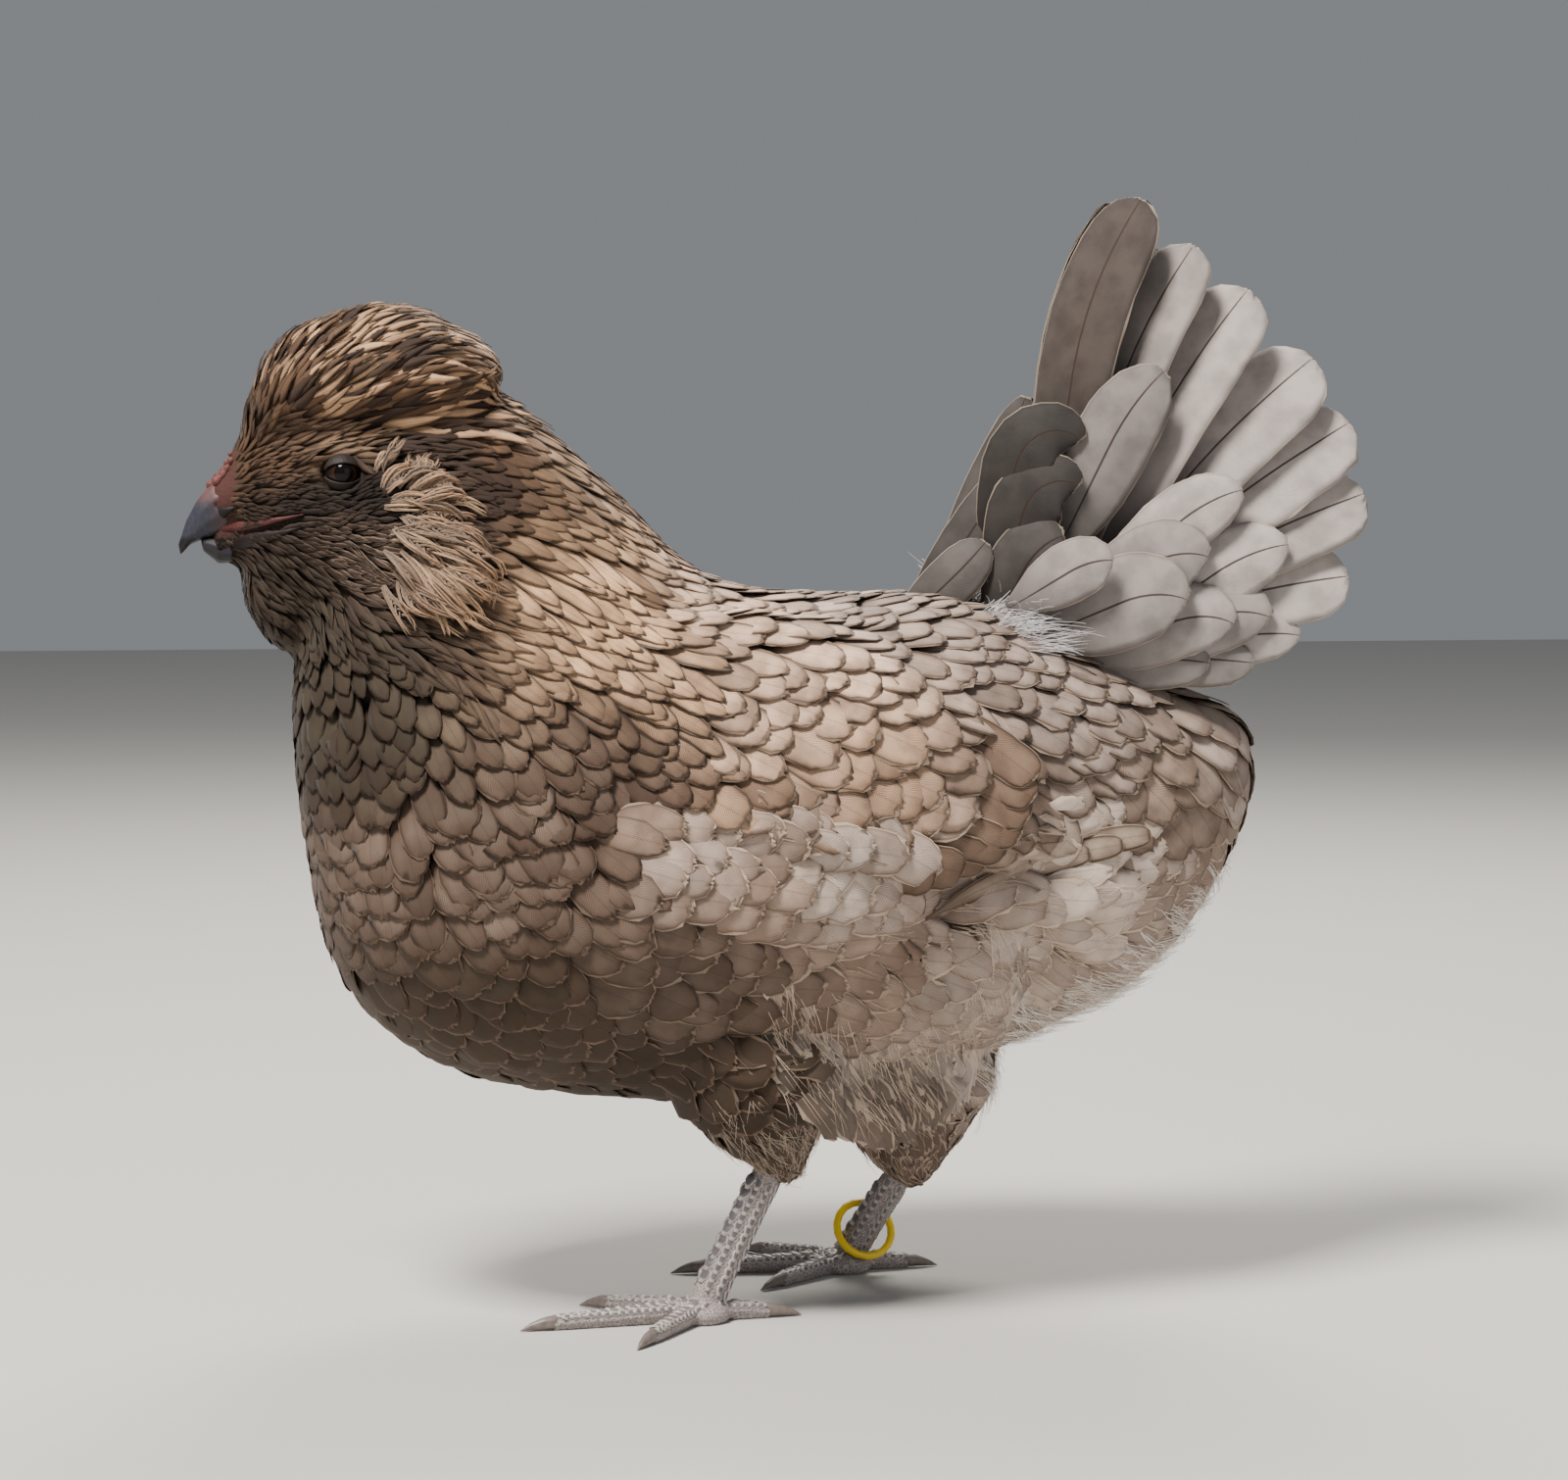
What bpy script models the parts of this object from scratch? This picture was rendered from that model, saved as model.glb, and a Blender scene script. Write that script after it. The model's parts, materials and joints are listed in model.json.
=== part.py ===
"""A standing araucana hen, life size, still, with a small crest, muffs, a beard and a raised, fanned tail.

The bird faces -Y, its left side is +X and the floor is Z = 0. Tables of places are in millimetres and
everything that is made from them is in metres. Head, neck and torso are one loft through named sections,
cut apart by flat gaps. What grows from them is made a little too deep and then cut clear of them.
"""

import math
import random
from collections import namedtuple

import bmesh
import bpy
from mathutils import Matrix, Vector
from mathutils.bvhtree import BVHTree
from mathutils.interpolate import poly_3d_calc

MM = 0.001
GAP = 0.35
# The tables are measured from a point over the feet. The model is moved so that its box is centred.
MOVED_BACK = 5.1
SIDES = (("left", 1), ("right", -1))

# A section is a ring between a point on the top line and one on the bottom line of the bird, as (y, z)
# in the plane of symmetry, with its half width and how far down its widest place is.
Section = namedtuple("Section", "top bottom half_width widest")
BODY = {
    "bill_root": Section((-183, 275), (-177, 244), 8.5, 0.55),
    "brow": Section((-176, 289), (-174, 238), 14.5, 0.55),
    "eye": Section((-160, 299), (-170, 233), 19, 0.5),
    "cheek": Section((-134, 304), (-165, 229), 25, 0.52),
    "poll": Section((-105, 303), (-161, 225), 31, 0.52),
    "throat": Section((-83, 291), (-163, 208), 38, 0.52),
    "mid_neck": Section((-57, 268), (-163, 184), 47, 0.52),
    "neck_base": Section((-35, 246), (-159, 152), 57, 0.52),
    "shoulder": Section((-14, 238), (-149, 111), 65, 0.52),
    "breast": Section((7, 236), (-117, 82), 71, 0.5),
    "middle": Section((27, 236), (-69, 71), 73, 0.48),
    "thigh": Section((47, 236), (-15, 67), 72, 0.46),
    "hip": Section((67, 232), (33, 71), 67, 0.44),
    "vent": Section((95, 220), (79, 86), 58, 0.42),
    "undertail": Section((125, 207), (118, 104), 45, 0.42),
    "rump": Section((150, 198), (147, 139), 28, 0.45),
    "rump_end": Section((159, 189), (159, 167), 9, 0.5),
}
NAMES = list(BODY)
HEAD_FROM, NECK_FROM, TORSO_FROM = (NAMES.index(name) for name in ("bill_root", "poll", "neck_base"))
TORSO_TO = len(NAMES) - 1
RINGS_A_SECTION = 3
AROUND_BODY = 26
FULLNESS = 0.92

# The bill, as (y, top z, bottom z, half width) from its root to its tip.
BILL_UPPER = (
    (-183.2, 274.0, 257.2, 7.4),
    (-187.6, 271.0, 256.4, 6.5),
    (-192.0, 266.0, 254.8, 5.0),
    (-196.0, 259.5, 252.0, 3.3),
    (-198.9, 251.5, 248.0, 1.3),
)
BILL_LOWER = (
    (-182.6, 256.7, 246.6, 6.2),
    (-187.6, 255.9, 245.6, 4.7),
    (-191.8, 254.1, 249.2, 2.2),
)
BILL_LEAN = 0.19
NOSTRIL = (6.6, -186.6, 264.0)
NOSTRIL_SIZE = (1.6, 2.4, 1.2)

EYE = (-149.5, 274.8)
EYE_RADIUS = 5.6
EYE_SHOWS = 2.6
LID_RADIUS, LID_THICKNESS = 5.0, 1.15
MOUTH_LINE = ((-178.6, 257.4), (-172.0, 258.6), (-165.0, 260.4))
MOUTH_DEPTH, MOUTH_HEIGHT = 1.0, 0.9
COMB_BULB = 1.9
COMB_ROWS = ((0.0, 3), (3.0, 2), (-3.0, 2))
COMB_FRONT, COMB_STEP = (-181.6, 277.0), (2.7, 4.2)

CREST = (
    Section((-182.5, 294), (-174, 286), 7, 0.6),
    Section((-175.5, 309), (-162, 285), 17, 0.7),
    Section((-159, 322.5), (-150, 284), 24, 0.72),
    Section((-136, 329), (-133, 285), 28, 0.74),
    Section((-113, 323), (-116, 289), 28, 0.68),
    Section((-98, 312), (-104, 294), 19, 0.6),
)
MUFF = (
    Section((-141, 272), (-148, 262), 4, 0.5),
    Section((-135, 276), (-146, 250), 10, 0.5),
    Section((-121, 273), (-133, 239), 13, 0.5),
    Section((-108, 257), (-116, 231), 9, 0.5),
    Section((-103, 243), (-106, 229), 3, 0.5),
)
MUFF_STANDS_AT = 27
BEARD = (
    Section((-172, 245), (-181, 242), 5, 0.5),
    Section((-165, 240), (-180, 234), 12, 0.5),
    Section((-158, 232), (-174, 225), 15, 0.5),
    Section((-156, 224), (-169, 218), 9, 0.5),
)

# The folded wing is a grid of places seen from the side, (y, z), from its shoulder to its tip.
WING_TOP = ((-58, 222), (-36, 229), (-10, 230), (16, 224), (38, 210), (56, 190), (65, 172))
WING_MIDDLE = ((-62, 196), (-42, 196), (-16, 195), (10, 189), (33, 180), (52, 169), (64, 158))
WING_BOTTOM = ((-58, 172), (-42, 165), (-18, 161), (6, 157), (28, 150), (46, 148), (60, 149))

# The tail is a folded fan. A feather is placed by its angle above the horizontal and its reach from the
# root of the fan, seen from the side. It also has a width and, at the ridge, is turned to face upwards.
Feather = namedtuple("Feather", "angle reach width")
FAN_ROOT = (84, 216)
FAN_ROOT_X = 6
FAN_ANGLES = (115, 100, 78, 71, 61, 48, 38, 27, 14, -5, -25)
FAN_TIP_X = (5, 7, 12, 17, 22, 27, 31, 35, 38, 40, 40)
FAN_TURNS = (60, 60, 54, 46, 38, 30, 22, 15, 9, 4, 0)
RECTRICES = (
    Feather(77.5, 153, 31),
    Feather(69.5, 143, 30),
    Feather(60.5, 137, 34),
    Feather(47.5, 131, 34),
    Feather(37, 125, 32),
    Feather(26.5, 116, 29),
    Feather(14, 101, 27),
)
# Near the ridge the feathers bow forwards, by this many degrees at most.
FAN_BOWS = (8, 8, 6.5, 4.5, 3, 3, 2, 2, 2, 0, 0)
# The coverts lie over them in tiers: the second table's feathers lie over the first's.
COVERTS = (
    ((69, 104, 24), (44, 82, 25), (25, 82, 25), (4, 86, 24), (-11, 74, 22)),
    ((86, 76, 22), (56, 56, 22), (34, 54, 24), (13, 60, 24), (-5, 54, 22)),
)
COVERT_LIFTS = (4.6, 7.8)
# The vanes leave the root evenly and are at their full spread this far from it.
FAN_SPREAD = 110
FAN_SPREAD_BEND = 0.7
COVERT_RISE = 2.2
RECTRIX_START, COVERT_START = 12, 8
VANE_TILT = 12
VANE_THICKNESS = 0.9
VANE_CAMBER = 0.12
# How wide a feather is along its length: bare at the root and round at the tip.
RECTRIX_SHAPE = ((0.0, 0.14), (0.17, 0.18), (0.4, 0.85), (0.7, 1.0), (0.93, 0.72), (1.0, 0.26))
COVERT_SHAPE = ((0.0, 0.2), (0.34, 0.66), (0.68, 1.0), (0.91, 0.78), (1.0, 0.3))
WING_SHAPE = ((0.0, 0.6), (0.4, 1.0), (0.8, 0.9), (1.0, 0.4))
LOCK_SHAPE = ((0.0, 0.55), (0.3, 1.0), (0.68, 0.86), (1.0, 0.16))
TAIL_CORE = (
    ((0, 92, 196), 16, 26),
    ((0, 97, 217), 15, 25),
    ((0, 104, 236), 11, 17),
    ((0, 110, 249), 6, 8),
)
TAIL_CORE_LEAN = (0, 0.42, 1)

# Coverts of the folded wing in rows: where the row starts along it, and how many feathers it has.
WING_ROWS = ((0.15, 4), (1.1, 4), (2.1, 4), (3.1, 4))
WING_QUILLS = (3.9, 5)
WING_REACHES = (1.85, 2.0)
WING_CORE = 2.4
WING_CORE_STEPS = (9, 3)
WING_SINKS = 2.0
WING_INSET = 0.12
WING_STAGGER = 0.25
WING_VANE = 0.7
WING_ROOT = 0.7
WING_LIFTS = (5.4, 4.4)
COVERT_DROP = 0.1

# Locks of the crest, muffs and beard in rows: where the row starts, how long its locks are and, as
# turns round the section from its top, where they grow.
CREST_ROWS = ((0.15, 1.7, 4), (1.05, 1.75, 4), (1.95, 1.75, 5), (2.85, 1.7, 4), (3.6, 1.5, 5))
CREST_SPREAD = 84
MUFF_ROWS = ((0.5, 1.7, 2), (1.35, 1.8, 3), (2.2, 1.7, 3))
MUFF_SPREAD = 62
BEARD_ROWS = ((0.1, 1.4, 2), (0.85, 1.4, 3), (1.6, 1.35, 3))
BEARD_SPREAD = 66
CORE_SHARE = 0.5
ROW_FILL = 0.95
LOCK_RISE = 0.75
ROOT_SHARE = 0.26
LEAST_RISE = 2.5
LOCK_THICKNESS = 0.9
SEED = 7

# Each leg stands on a hub. Its shank rises from there to where it enters the fluff of the thigh.
Leg = namedtuple("Leg", "hub knee scutes thigh")
LEGS = {
    "left": Leg(
        (32, -36),
        (33, -13.5, 48),
        6,
        (((33, -16, 90), 28, 31), ((33, -17, 71), 24, 27), ((33, -16, 59), 16, 18), ((33, -13, 48.4), 8.5, 9)),
    ),
    "right": Leg(
        (-36, 27),
        (-27, 44, 33),
        4,
        (((-32, 50, 90), 28, 33), ((-32, 51, 62), 24, 28), ((-29, 48, 45), 16, 18), ((-27, 44, 33.4), 8.5, 9)),
    ),
}
SHANK_FROM = 0.06
SHANK_RADII = (5.6, 4.9, 4.6, 4.6, 5.0)
SCUTES_FROM, SCUTES_TO = 0.24, 0.9
SCUTE_SIZE = (2.3, 1.7)
SCUTE_TURN = 30
HUB_SIZE = (10.4, 10.4, 5.2)
HUB_CENTRE_Z = 2.6
TOE_STARTS = 10.0
# Toes as (turn from straight ahead towards the bird's outer side, length with the claw, scutes).
TOES = ((180, 34, 3), (-40, 46, 5), (5, 60, 8), (55, 48, 6))
TOE_WIDTH, TOE_HEIGHT, TOE_TAPER = 3.5, 7.0, 0.66
# A claw's places along it, with its size there and how far it has dropped.
CLAW_SHAPE = ((0, 1, 0), (0.35, 0.85, 0.2), (0.7, 0.52, 0.9), (1, 0.12, 2.0))
CLAW_LENGTH, CLAW_RADIUS = 11.0, 2.25

RING_CENTRE = (-32.4, 33.8, 14.8)
RING_FACES = (0.846, 0.117, 0.521)
RING_RADIUS, RING_BAND = 9.9, 1.5


def start_scene():
    for obj in list(bpy.data.objects):
        bpy.data.objects.remove(obj)
    made = [bpy.data.collections.new(name) for name in ("hen", "cutters")]
    for collection in made:
        bpy.context.scene.collection.children.link(collection)
    return made


HEN, CUTTERS = start_scene()


def material(name, colour, roughness, metallic=0.0):
    made = bpy.data.materials.new(name)
    made.use_nodes = True
    shader = made.node_tree.nodes["Principled BSDF"]
    shader.inputs["Base Color"].default_value = (*colour, 1.0)
    shader.inputs["Roughness"].default_value = roughness
    shader.inputs["Metallic"].default_value = metallic
    return made


BODY_PLUMAGE = material("body_plumage", (0.27, 0.22, 0.19), 0.75)
NECK_PLUMAGE = material("neck_plumage", (0.24, 0.17, 0.12), 0.75)
CREST_PLUMAGE = material("crest_plumage", (0.26, 0.18, 0.12), 0.75)
MUFF_PLUMAGE = material("muff_plumage", (0.40, 0.29, 0.18), 0.75)
TAIL_PLUMAGE = material("tail_plumage", (0.30, 0.27, 0.25), 0.7)
SCALED_SKIN = material("scaled_skin", (0.20, 0.19, 0.20), 0.5)
HORN = material("horn", (0.13, 0.13, 0.16), 0.35)
EYE_BLACK = material("eye_black", (0.02, 0.012, 0.008), 0.08)
RING_YELLOW = material("ring_yellow", (0.85, 0.60, 0.02), 0.4)


def put(bm, name, finish=None, collection=HEN):
    """An object that holds this mesh, given in millimetres, with its faces pointing out."""
    bmesh.ops.recalc_face_normals(bm, faces=bm.faces)
    bmesh.ops.translate(bm, vec=(0, MOVED_BACK, 0), verts=bm.verts)
    bmesh.ops.scale(bm, vec=(MM, MM, MM), verts=bm.verts)
    mesh = bpy.data.meshes.new(name)
    bm.to_mesh(mesh)
    bm.free()
    obj = bpy.data.objects.new(name, mesh)
    if finish:
        mesh.materials.append(finish)
    collection.objects.link(obj)
    if collection == CUTTERS:
        obj.hide_render = True
        obj.display_type = "WIRE"
    return obj


def apply_modifiers(obj):
    graph = bpy.context.evaluated_depsgraph_get()
    mesh = bpy.data.meshes.new_from_object(obj.evaluated_get(graph))
    obj.modifiers.clear()
    obj.data = mesh
    return obj


def boolean(obj, operation, others, solver="EXACT"):
    """Joins these closed objects to obj, or cuts them from it, and removes them."""
    group = bpy.data.collections.new(obj.name + "_pieces")
    bpy.context.scene.collection.children.link(group)
    for other in others:
        group.objects.link(other)
    modifier = obj.modifiers.new(operation.lower(), "BOOLEAN")
    modifier.operation = operation
    modifier.operand_type = "COLLECTION"
    modifier.collection = group
    modifier.solver = solver
    apply_modifiers(obj)
    for other in others:
        bpy.data.objects.remove(other)
    bpy.data.collections.remove(group)
    return keep_largest(obj)


def keep_largest(obj):
    """Drops every loose surface of the mesh but the largest."""
    bm = bmesh.new()
    bm.from_mesh(obj.data)
    left = set(bm.verts)
    shells = []
    while left:
        front = [left.pop()]
        shell = set(front)
        while front:
            for edge in front.pop().link_edges:
                for vert in edge.verts:
                    if vert not in shell:
                        shell.add(vert)
                        front.append(vert)
        left -= shell
        shells.append(shell)
    shells.sort(key=len)
    for shell in shells[:-1]:
        bmesh.ops.delete(bm, geom=list(shell), context="VERTS")
    bm.to_mesh(obj.data)
    bm.free()
    return obj


def smooth(obj, angle=40):
    obj.data.shade_smooth()
    obj.data.set_sharp_from_angle(angle=math.radians(angle))
    return obj


def loft(rings):
    """A closed mesh through rings that hold the same number of points in the same order."""
    bm = bmesh.new()
    made = [[bm.verts.new(point) for point in ring] for ring in rings]
    count = len(rings[0])
    for here, there in zip(made, made[1:]):
        for i in range(count):
            j = (i + 1) % count
            bm.faces.new((here[i], here[j], there[j], there[i]))
    bm.faces.new(list(reversed(made[0])))
    bm.faces.new(made[-1])
    return bm


def plate(over, under):
    """A closed plate between two grids of points, each split into triangles the same way."""
    bm = bmesh.new()
    sheets = [[[bm.verts.new(point) for point in row] for row in grid] for grid in (over, under)]
    rows, columns = len(over), len(over[0])
    for sheet, turned in zip(sheets, (False, True)):
        for k in range(rows - 1):
            for i in range(columns - 1):
                a, b = sheet[k][i], sheet[k][i + 1]
                c, d = sheet[k + 1][i + 1], sheet[k + 1][i]
                for corners in ((a, b, c), (a, c, d)):
                    bm.faces.new(corners[::-1] if turned else corners)
    rim = [(0, i) for i in range(columns)] + [(k, columns - 1) for k in range(1, rows)]
    rim += [(rows - 1, i) for i in range(columns - 2, -1, -1)] + [(k, 0) for k in range(rows - 2, 0, -1)]
    top, bottom = sheets
    for (k, i), (m, j) in zip(rim, rim[1:] + rim[:1]):
        bm.faces.new((top[m][j], top[k][i], bottom[k][i], bottom[m][j]))
    return bm


def ellipse(centre, across, up, half_width, half_height, count):
    """A ring of points round a centre. It starts at the top."""
    turns = [math.tau * i / count for i in range(count)]
    return [centre + across * half_width * math.sin(a) + up * half_height * math.cos(a) for a in turns]


def spline(values, at):
    """A smooth curve through evenly spaced values, read at a place counted in values."""
    last = len(values) - 1
    i = min(max(int(at), 0), last - 1)
    f = at - i
    before, here = values[max(i - 1, 0)], values[i]
    there, after = values[i + 1], values[min(i + 2, last)]
    bend = 2 * before - 5 * here + 4 * there - after
    twist = 3 * here - before - 3 * there + after
    return 0.5 * (2 * here + (there - before) * f + bend * f ** 2 + twist * f ** 3)


def ring_at(sections, at, shift=0.0, grow=0.0, around=AROUND_BODY, x=0.0):
    """The ring at a place along the sections, moved along their axis by shift and grown outwards."""
    top = Vector(spline([Vector(s.top) for s in sections], at))
    bottom = Vector(spline([Vector(s.bottom) for s in sections], at))
    half_width = spline([s.half_width for s in sections], at) + grow
    centre = top.lerp(bottom, spline([s.widest for s in sections], at))
    down = (bottom - top).normalized()
    along = Vector((-down.y, down.x))
    top, bottom = top - down * grow, bottom + down * grow
    ring = []
    for i in range(around):
        turn = math.tau * i / around
        across, height = (math.copysign(abs(v) ** FULLNESS, v) for v in (math.sin(turn), math.cos(turn)))
        end = top if height > 0 else bottom
        y, z = centre + (end - centre) * abs(height) + along * shift
        ring.append(Vector((x + half_width * across, y, z)))
    return ring


def rings_through(sections, first, last, rings_each, gaps=(0.0, 0.0), grow=0.0, around=AROUND_BODY, x=0.0):
    count = (last - first) * rings_each
    shifts = [0.0] * (count + 1)
    shifts[0], shifts[-1] = gaps[0], -gaps[1]
    places = [first + k / rings_each for k in range(count + 1)]
    return [ring_at(sections, at, shift, grow, around, x) for at, shift in zip(places, shifts)]


SECTIONS = list(BODY.values())


def flesh(first, last, gaps=(0.0, 0.0), grow=0.0):
    return loft(rings_through(SECTIONS, first, last, RINGS_A_SECTION, gaps, grow))


def grown_flesh(first=HEAD_FROM, last=TORSO_TO):
    """A cutter: part of the flesh, larger all round by the gap."""
    return put(flesh(first, last, (-GAP if first == HEAD_FROM else 0.0, -GAP), GAP), "grown", None, CUTTERS)


class Skin:
    """Finds places on the smooth surface of the flesh."""

    def __init__(self, bm):
        self.bm = bm
        bmesh.ops.recalc_face_normals(bm, faces=bm.faces)
        bm.normal_update()
        bm.faces.ensure_lookup_table()
        self.tree = BVHTree.FromBMesh(bm)

    def read(self, place, index):
        corners = self.bm.faces[index].verts
        weights = poly_3d_calc([v.co for v in corners], place)
        normal = sum((v.normal * w for v, w in zip(corners, weights)), Vector())
        return place, normal.normalized()

    def beside(self, side, y, z):
        """The place on this side of the bird that is seen at (y, z) from that side."""
        place, _, index, _ = self.tree.ray_cast(Vector((side * 300, y, z)), Vector((-side, 0, 0)))
        return self.read(place, index)

    def nearest(self, point):
        place, _, index, _ = self.tree.find_nearest(point)
        return self.read(place, index)


SKIN = Skin(loft(rings_through(SECTIONS, HEAD_FROM, TORSO_TO, 6, around=56)))


def torso():
    half = GAP / 2
    return smooth(put(flesh(TORSO_FROM, TORSO_TO, (half, 0.0)), "torso", BODY_PLUMAGE))


def neck():
    half = GAP / 2
    return smooth(put(flesh(NECK_FROM, TORSO_FROM, (half, half)), "neck", NECK_PLUMAGE))


def sphere(centre, radii, segments=12, rings=8):
    bm = bmesh.new()
    bmesh.ops.create_uvsphere(bm, u_segments=segments, v_segments=rings, radius=1.0)
    bmesh.ops.scale(bm, vec=radii, verts=bm.verts)
    bmesh.ops.translate(bm, vec=centre, verts=bm.verts)
    return bm


def turned(bm, axis, centre):
    """Turns a mesh from facing +Z to facing along axis, then moves it."""
    matrix = Vector((0, 0, 1)).rotation_difference(Vector(axis)).to_matrix()
    bmesh.ops.rotate(bm, cent=(0, 0, 0), matrix=matrix, verts=bm.verts)
    bmesh.ops.translate(bm, vec=centre, verts=bm.verts)
    return bm


def torus(radius, thickness, around, section):
    """A ring in the XY plane."""
    bm = bmesh.new()
    rings = []
    for k in range(around):
        out = Vector((math.cos(math.tau * k / around), math.sin(math.tau * k / around), 0))
        points = ellipse(out * radius, out, Vector((0, 0, 1)), thickness, thickness, section)
        rings.append([bm.verts.new(point) for point in points])
    for here, there in zip(rings, rings[1:] + rings[:1]):
        for i in range(section):
            j = (i + 1) % section
            bm.faces.new((here[i], here[j], there[j], there[i]))
    return bm


def eye_place(side):
    """The centre of the eyeball and the direction that it looks in."""
    place, normal = SKIN.beside(side, *EYE)
    return place - normal * (EYE_RADIUS - EYE_SHOWS), normal


def comb_bulbs():
    for x, count in COMB_ROWS:
        for k in range(count):
            y = COMB_FRONT[0] + COMB_STEP[0] * (k + (0.4 if x else 0))
            z = COMB_FRONT[1] + COMB_STEP[1] * (k + (0.4 if x else 0)) - abs(x) * 0.4
            place, normal = SKIN.nearest(Vector((x, y, z)))
            size = COMB_BULB * (1.0 if x == 0 else 0.85)
            yield sphere(place + normal * 0.5, (size, size, size), 6, 5)


def mouth_cutter(side):
    """A thin bent blade that cuts the line of the mouth into one cheek."""
    over, under = [], []
    for y, z in MOUTH_LINE:
        place, normal = SKIN.beside(side, y, z)
        ends = (place + normal * 2, place - normal * MOUTH_DEPTH)
        over.append([end + Vector((0, 0, MOUTH_HEIGHT / 2)) for end in ends])
        under.append([end - Vector((0, 0, MOUTH_HEIGHT / 2)) for end in ends])
    return plate(over, under)


def head():
    """The head with its lids, its pea comb and the line of the mouth."""
    made = put(flesh(HEAD_FROM, NECK_FROM, (0.0, GAP / 2)), "head", NECK_PLUMAGE)
    added = [put(bulb, "bulb", None, CUTTERS) for bulb in comb_bulbs()]
    cuts = []
    for _, side in SIDES:
        centre, looks = eye_place(side)
        rim = centre + looks * (EYE_RADIUS - EYE_SHOWS + 0.3)
        added.append(put(turned(torus(LID_RADIUS, LID_THICKNESS, 14, 5), looks, rim), "lid", None, CUTTERS))
        socket = EYE_RADIUS + GAP
        cuts.append(put(turned(sphere((0, 0, 0), (socket,) * 3), looks, centre), "socket", None, CUTTERS))
        cuts.append(put(mouth_cutter(side), "mouth", None, CUTTERS))
    boolean(made, "UNION", added)
    boolean(made, "DIFFERENCE", cuts)
    return smooth(made)


def eyes():
    for name, side in SIDES:
        centre, looks = eye_place(side)
        ball = turned(sphere((0, 0, 0), (EYE_RADIUS,) * 3), looks, centre)
        smooth(put(ball, "eye_" + name, EYE_BLACK), 80)


def bill(name, profile, count=10):
    """Half of the bill, through its rings. They lean like the front of the head."""
    rings = []
    for y, top, bottom, half_width in profile:
        centre = Vector((0, y, (top + bottom) / 2))
        up = Vector((0, -BILL_LEAN, 1)).normalized()
        rings.append(ellipse(centre, Vector((1, 0, 0)), up, half_width, (top - bottom) / 2, count))
    return put(loft(rings), name, HORN)


def bills():
    upper = bill("bill_upper", BILL_UPPER)
    x, y, z = NOSTRIL
    holes = [sphere((x * side, y, z), NOSTRIL_SIZE, 8, 6) for _, side in SIDES]
    boolean(upper, "DIFFERENCE", [put(hole, "nostril", None, CUTTERS) for hole in holes])
    smooth(upper, 50)
    smooth(bill("bill_lower", BILL_LOWER), 50)


def cut_clear(obj, cutters, solver="EXACT"):
    boolean(obj, "DIFFERENCE", cutters, solver)
    return smooth(obj)


def vane(places, faces, half_widths, thicknesses, rows=3):
    """A feather or lock: a thin plate along a line of places, facing its own way at each."""
    over, under = [], []
    for k, (place, face) in enumerate(zip(places, faces)):
        ahead = places[min(k + 1, len(places) - 1)] - places[max(k - 1, 0)]
        across = ahead.cross(face).normalized()
        face = across.cross(ahead).normalized()
        spots = [2 * i / (rows - 1) - 1 for i in range(rows)]
        bow = [half_widths[k] * VANE_CAMBER * (1 - spot * spot) for spot in spots]
        middles = [place + across * half_widths[k] * spot + face * b for spot, b in zip(spots, bow)]
        over.append([point + face * thicknesses[k] / 2 for point in middles])
        under.append([point - face * thicknesses[k] / 2 for point in middles])
    return plate(over, under)


def fused(core, pieces, name, finish):
    """One closed body of a core and its pieces, cut clear of the flesh that carries it."""
    made = put(core, name, finish)
    boolean(made, "UNION", [put(piece, "piece", None, CUTTERS) for piece in pieces], "MANIFOLD")
    return cut_clear(made, [grown_flesh()], "MANIFOLD")


def coat_place(sections, side, x, at, turn):
    """A place in the flesh and the way from there to the outside of a coat.

    It is counted along the sections and, in degrees, round them from their top towards this side.
    """
    outside = ring_at(sections, min(at, len(sections) - 1), around=360, x=x)[round(turn) % 360]
    if at > len(sections) - 1:
        before = ring_at(sections, len(sections) - 1.2, around=360, x=x)[round(turn) % 360]
        outside += (outside - before) * (at - len(sections) + 1) / 0.2
    outside.x *= side
    place, normal = SKIN.nearest(outside)
    rise = outside - place
    return place, rise if rise.dot(normal) > LEAST_RISE else normal * LEAST_RISE


def locks(sections, rows, spread, middle, x, side, draw):
    """Tapered locks that grow from the coat's core in rows and lie over one another like tiles."""
    for start, length, count in rows:
        for i in range(count):
            turn = middle + spread * (2 * (i + 0.5) / count - 1) + draw.uniform(-2, 2)
            reach = length * draw.uniform(0.9, 1.08)
            places, faces = [], []
            for share, _ in LOCK_SHAPE:
                place, rise = coat_place(sections, side, x, start + reach * share, turn)
                places.append(place + rise * (ROOT_SHARE + (1 - ROOT_SHARE) * share ** LOCK_RISE))
                faces.append(rise.normalized())
            edges = []
            for way in (-1, 1):
                place, rise = coat_place(sections, side, x, start + reach / 2, turn + way * spread / count)
                edges.append(place + rise)
            half = (edges[0] - edges[1]).length / 2 * ROW_FILL
            widths = [half * size for _, size in LOCK_SHAPE]
            yield vane(places, faces, widths, [LOCK_THICKNESS] * 3 + [LOCK_THICKNESS * 0.6], rows=2)


def coat_core(sections, x=0.0, side=1):
    """The inner part of a coat, from inside the flesh to a share of the coat's depth."""
    rings = rings_through(sections, 0, len(sections) - 1, 1, around=10, x=x)
    for ring in rings:
        for point in ring:
            point.x *= side
            flesh_place, normal = SKIN.nearest(point)
            if (point - flesh_place).dot(normal) > 0:
                point.xyz = flesh_place.lerp(point, CORE_SHARE)
    return loft(rings)


def crest():
    draw = random.Random(SEED)
    pieces = locks(CREST, CREST_ROWS, CREST_SPREAD, 0, 0, 1, draw)
    fused(coat_core(CREST), pieces, "crest", CREST_PLUMAGE)


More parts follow.
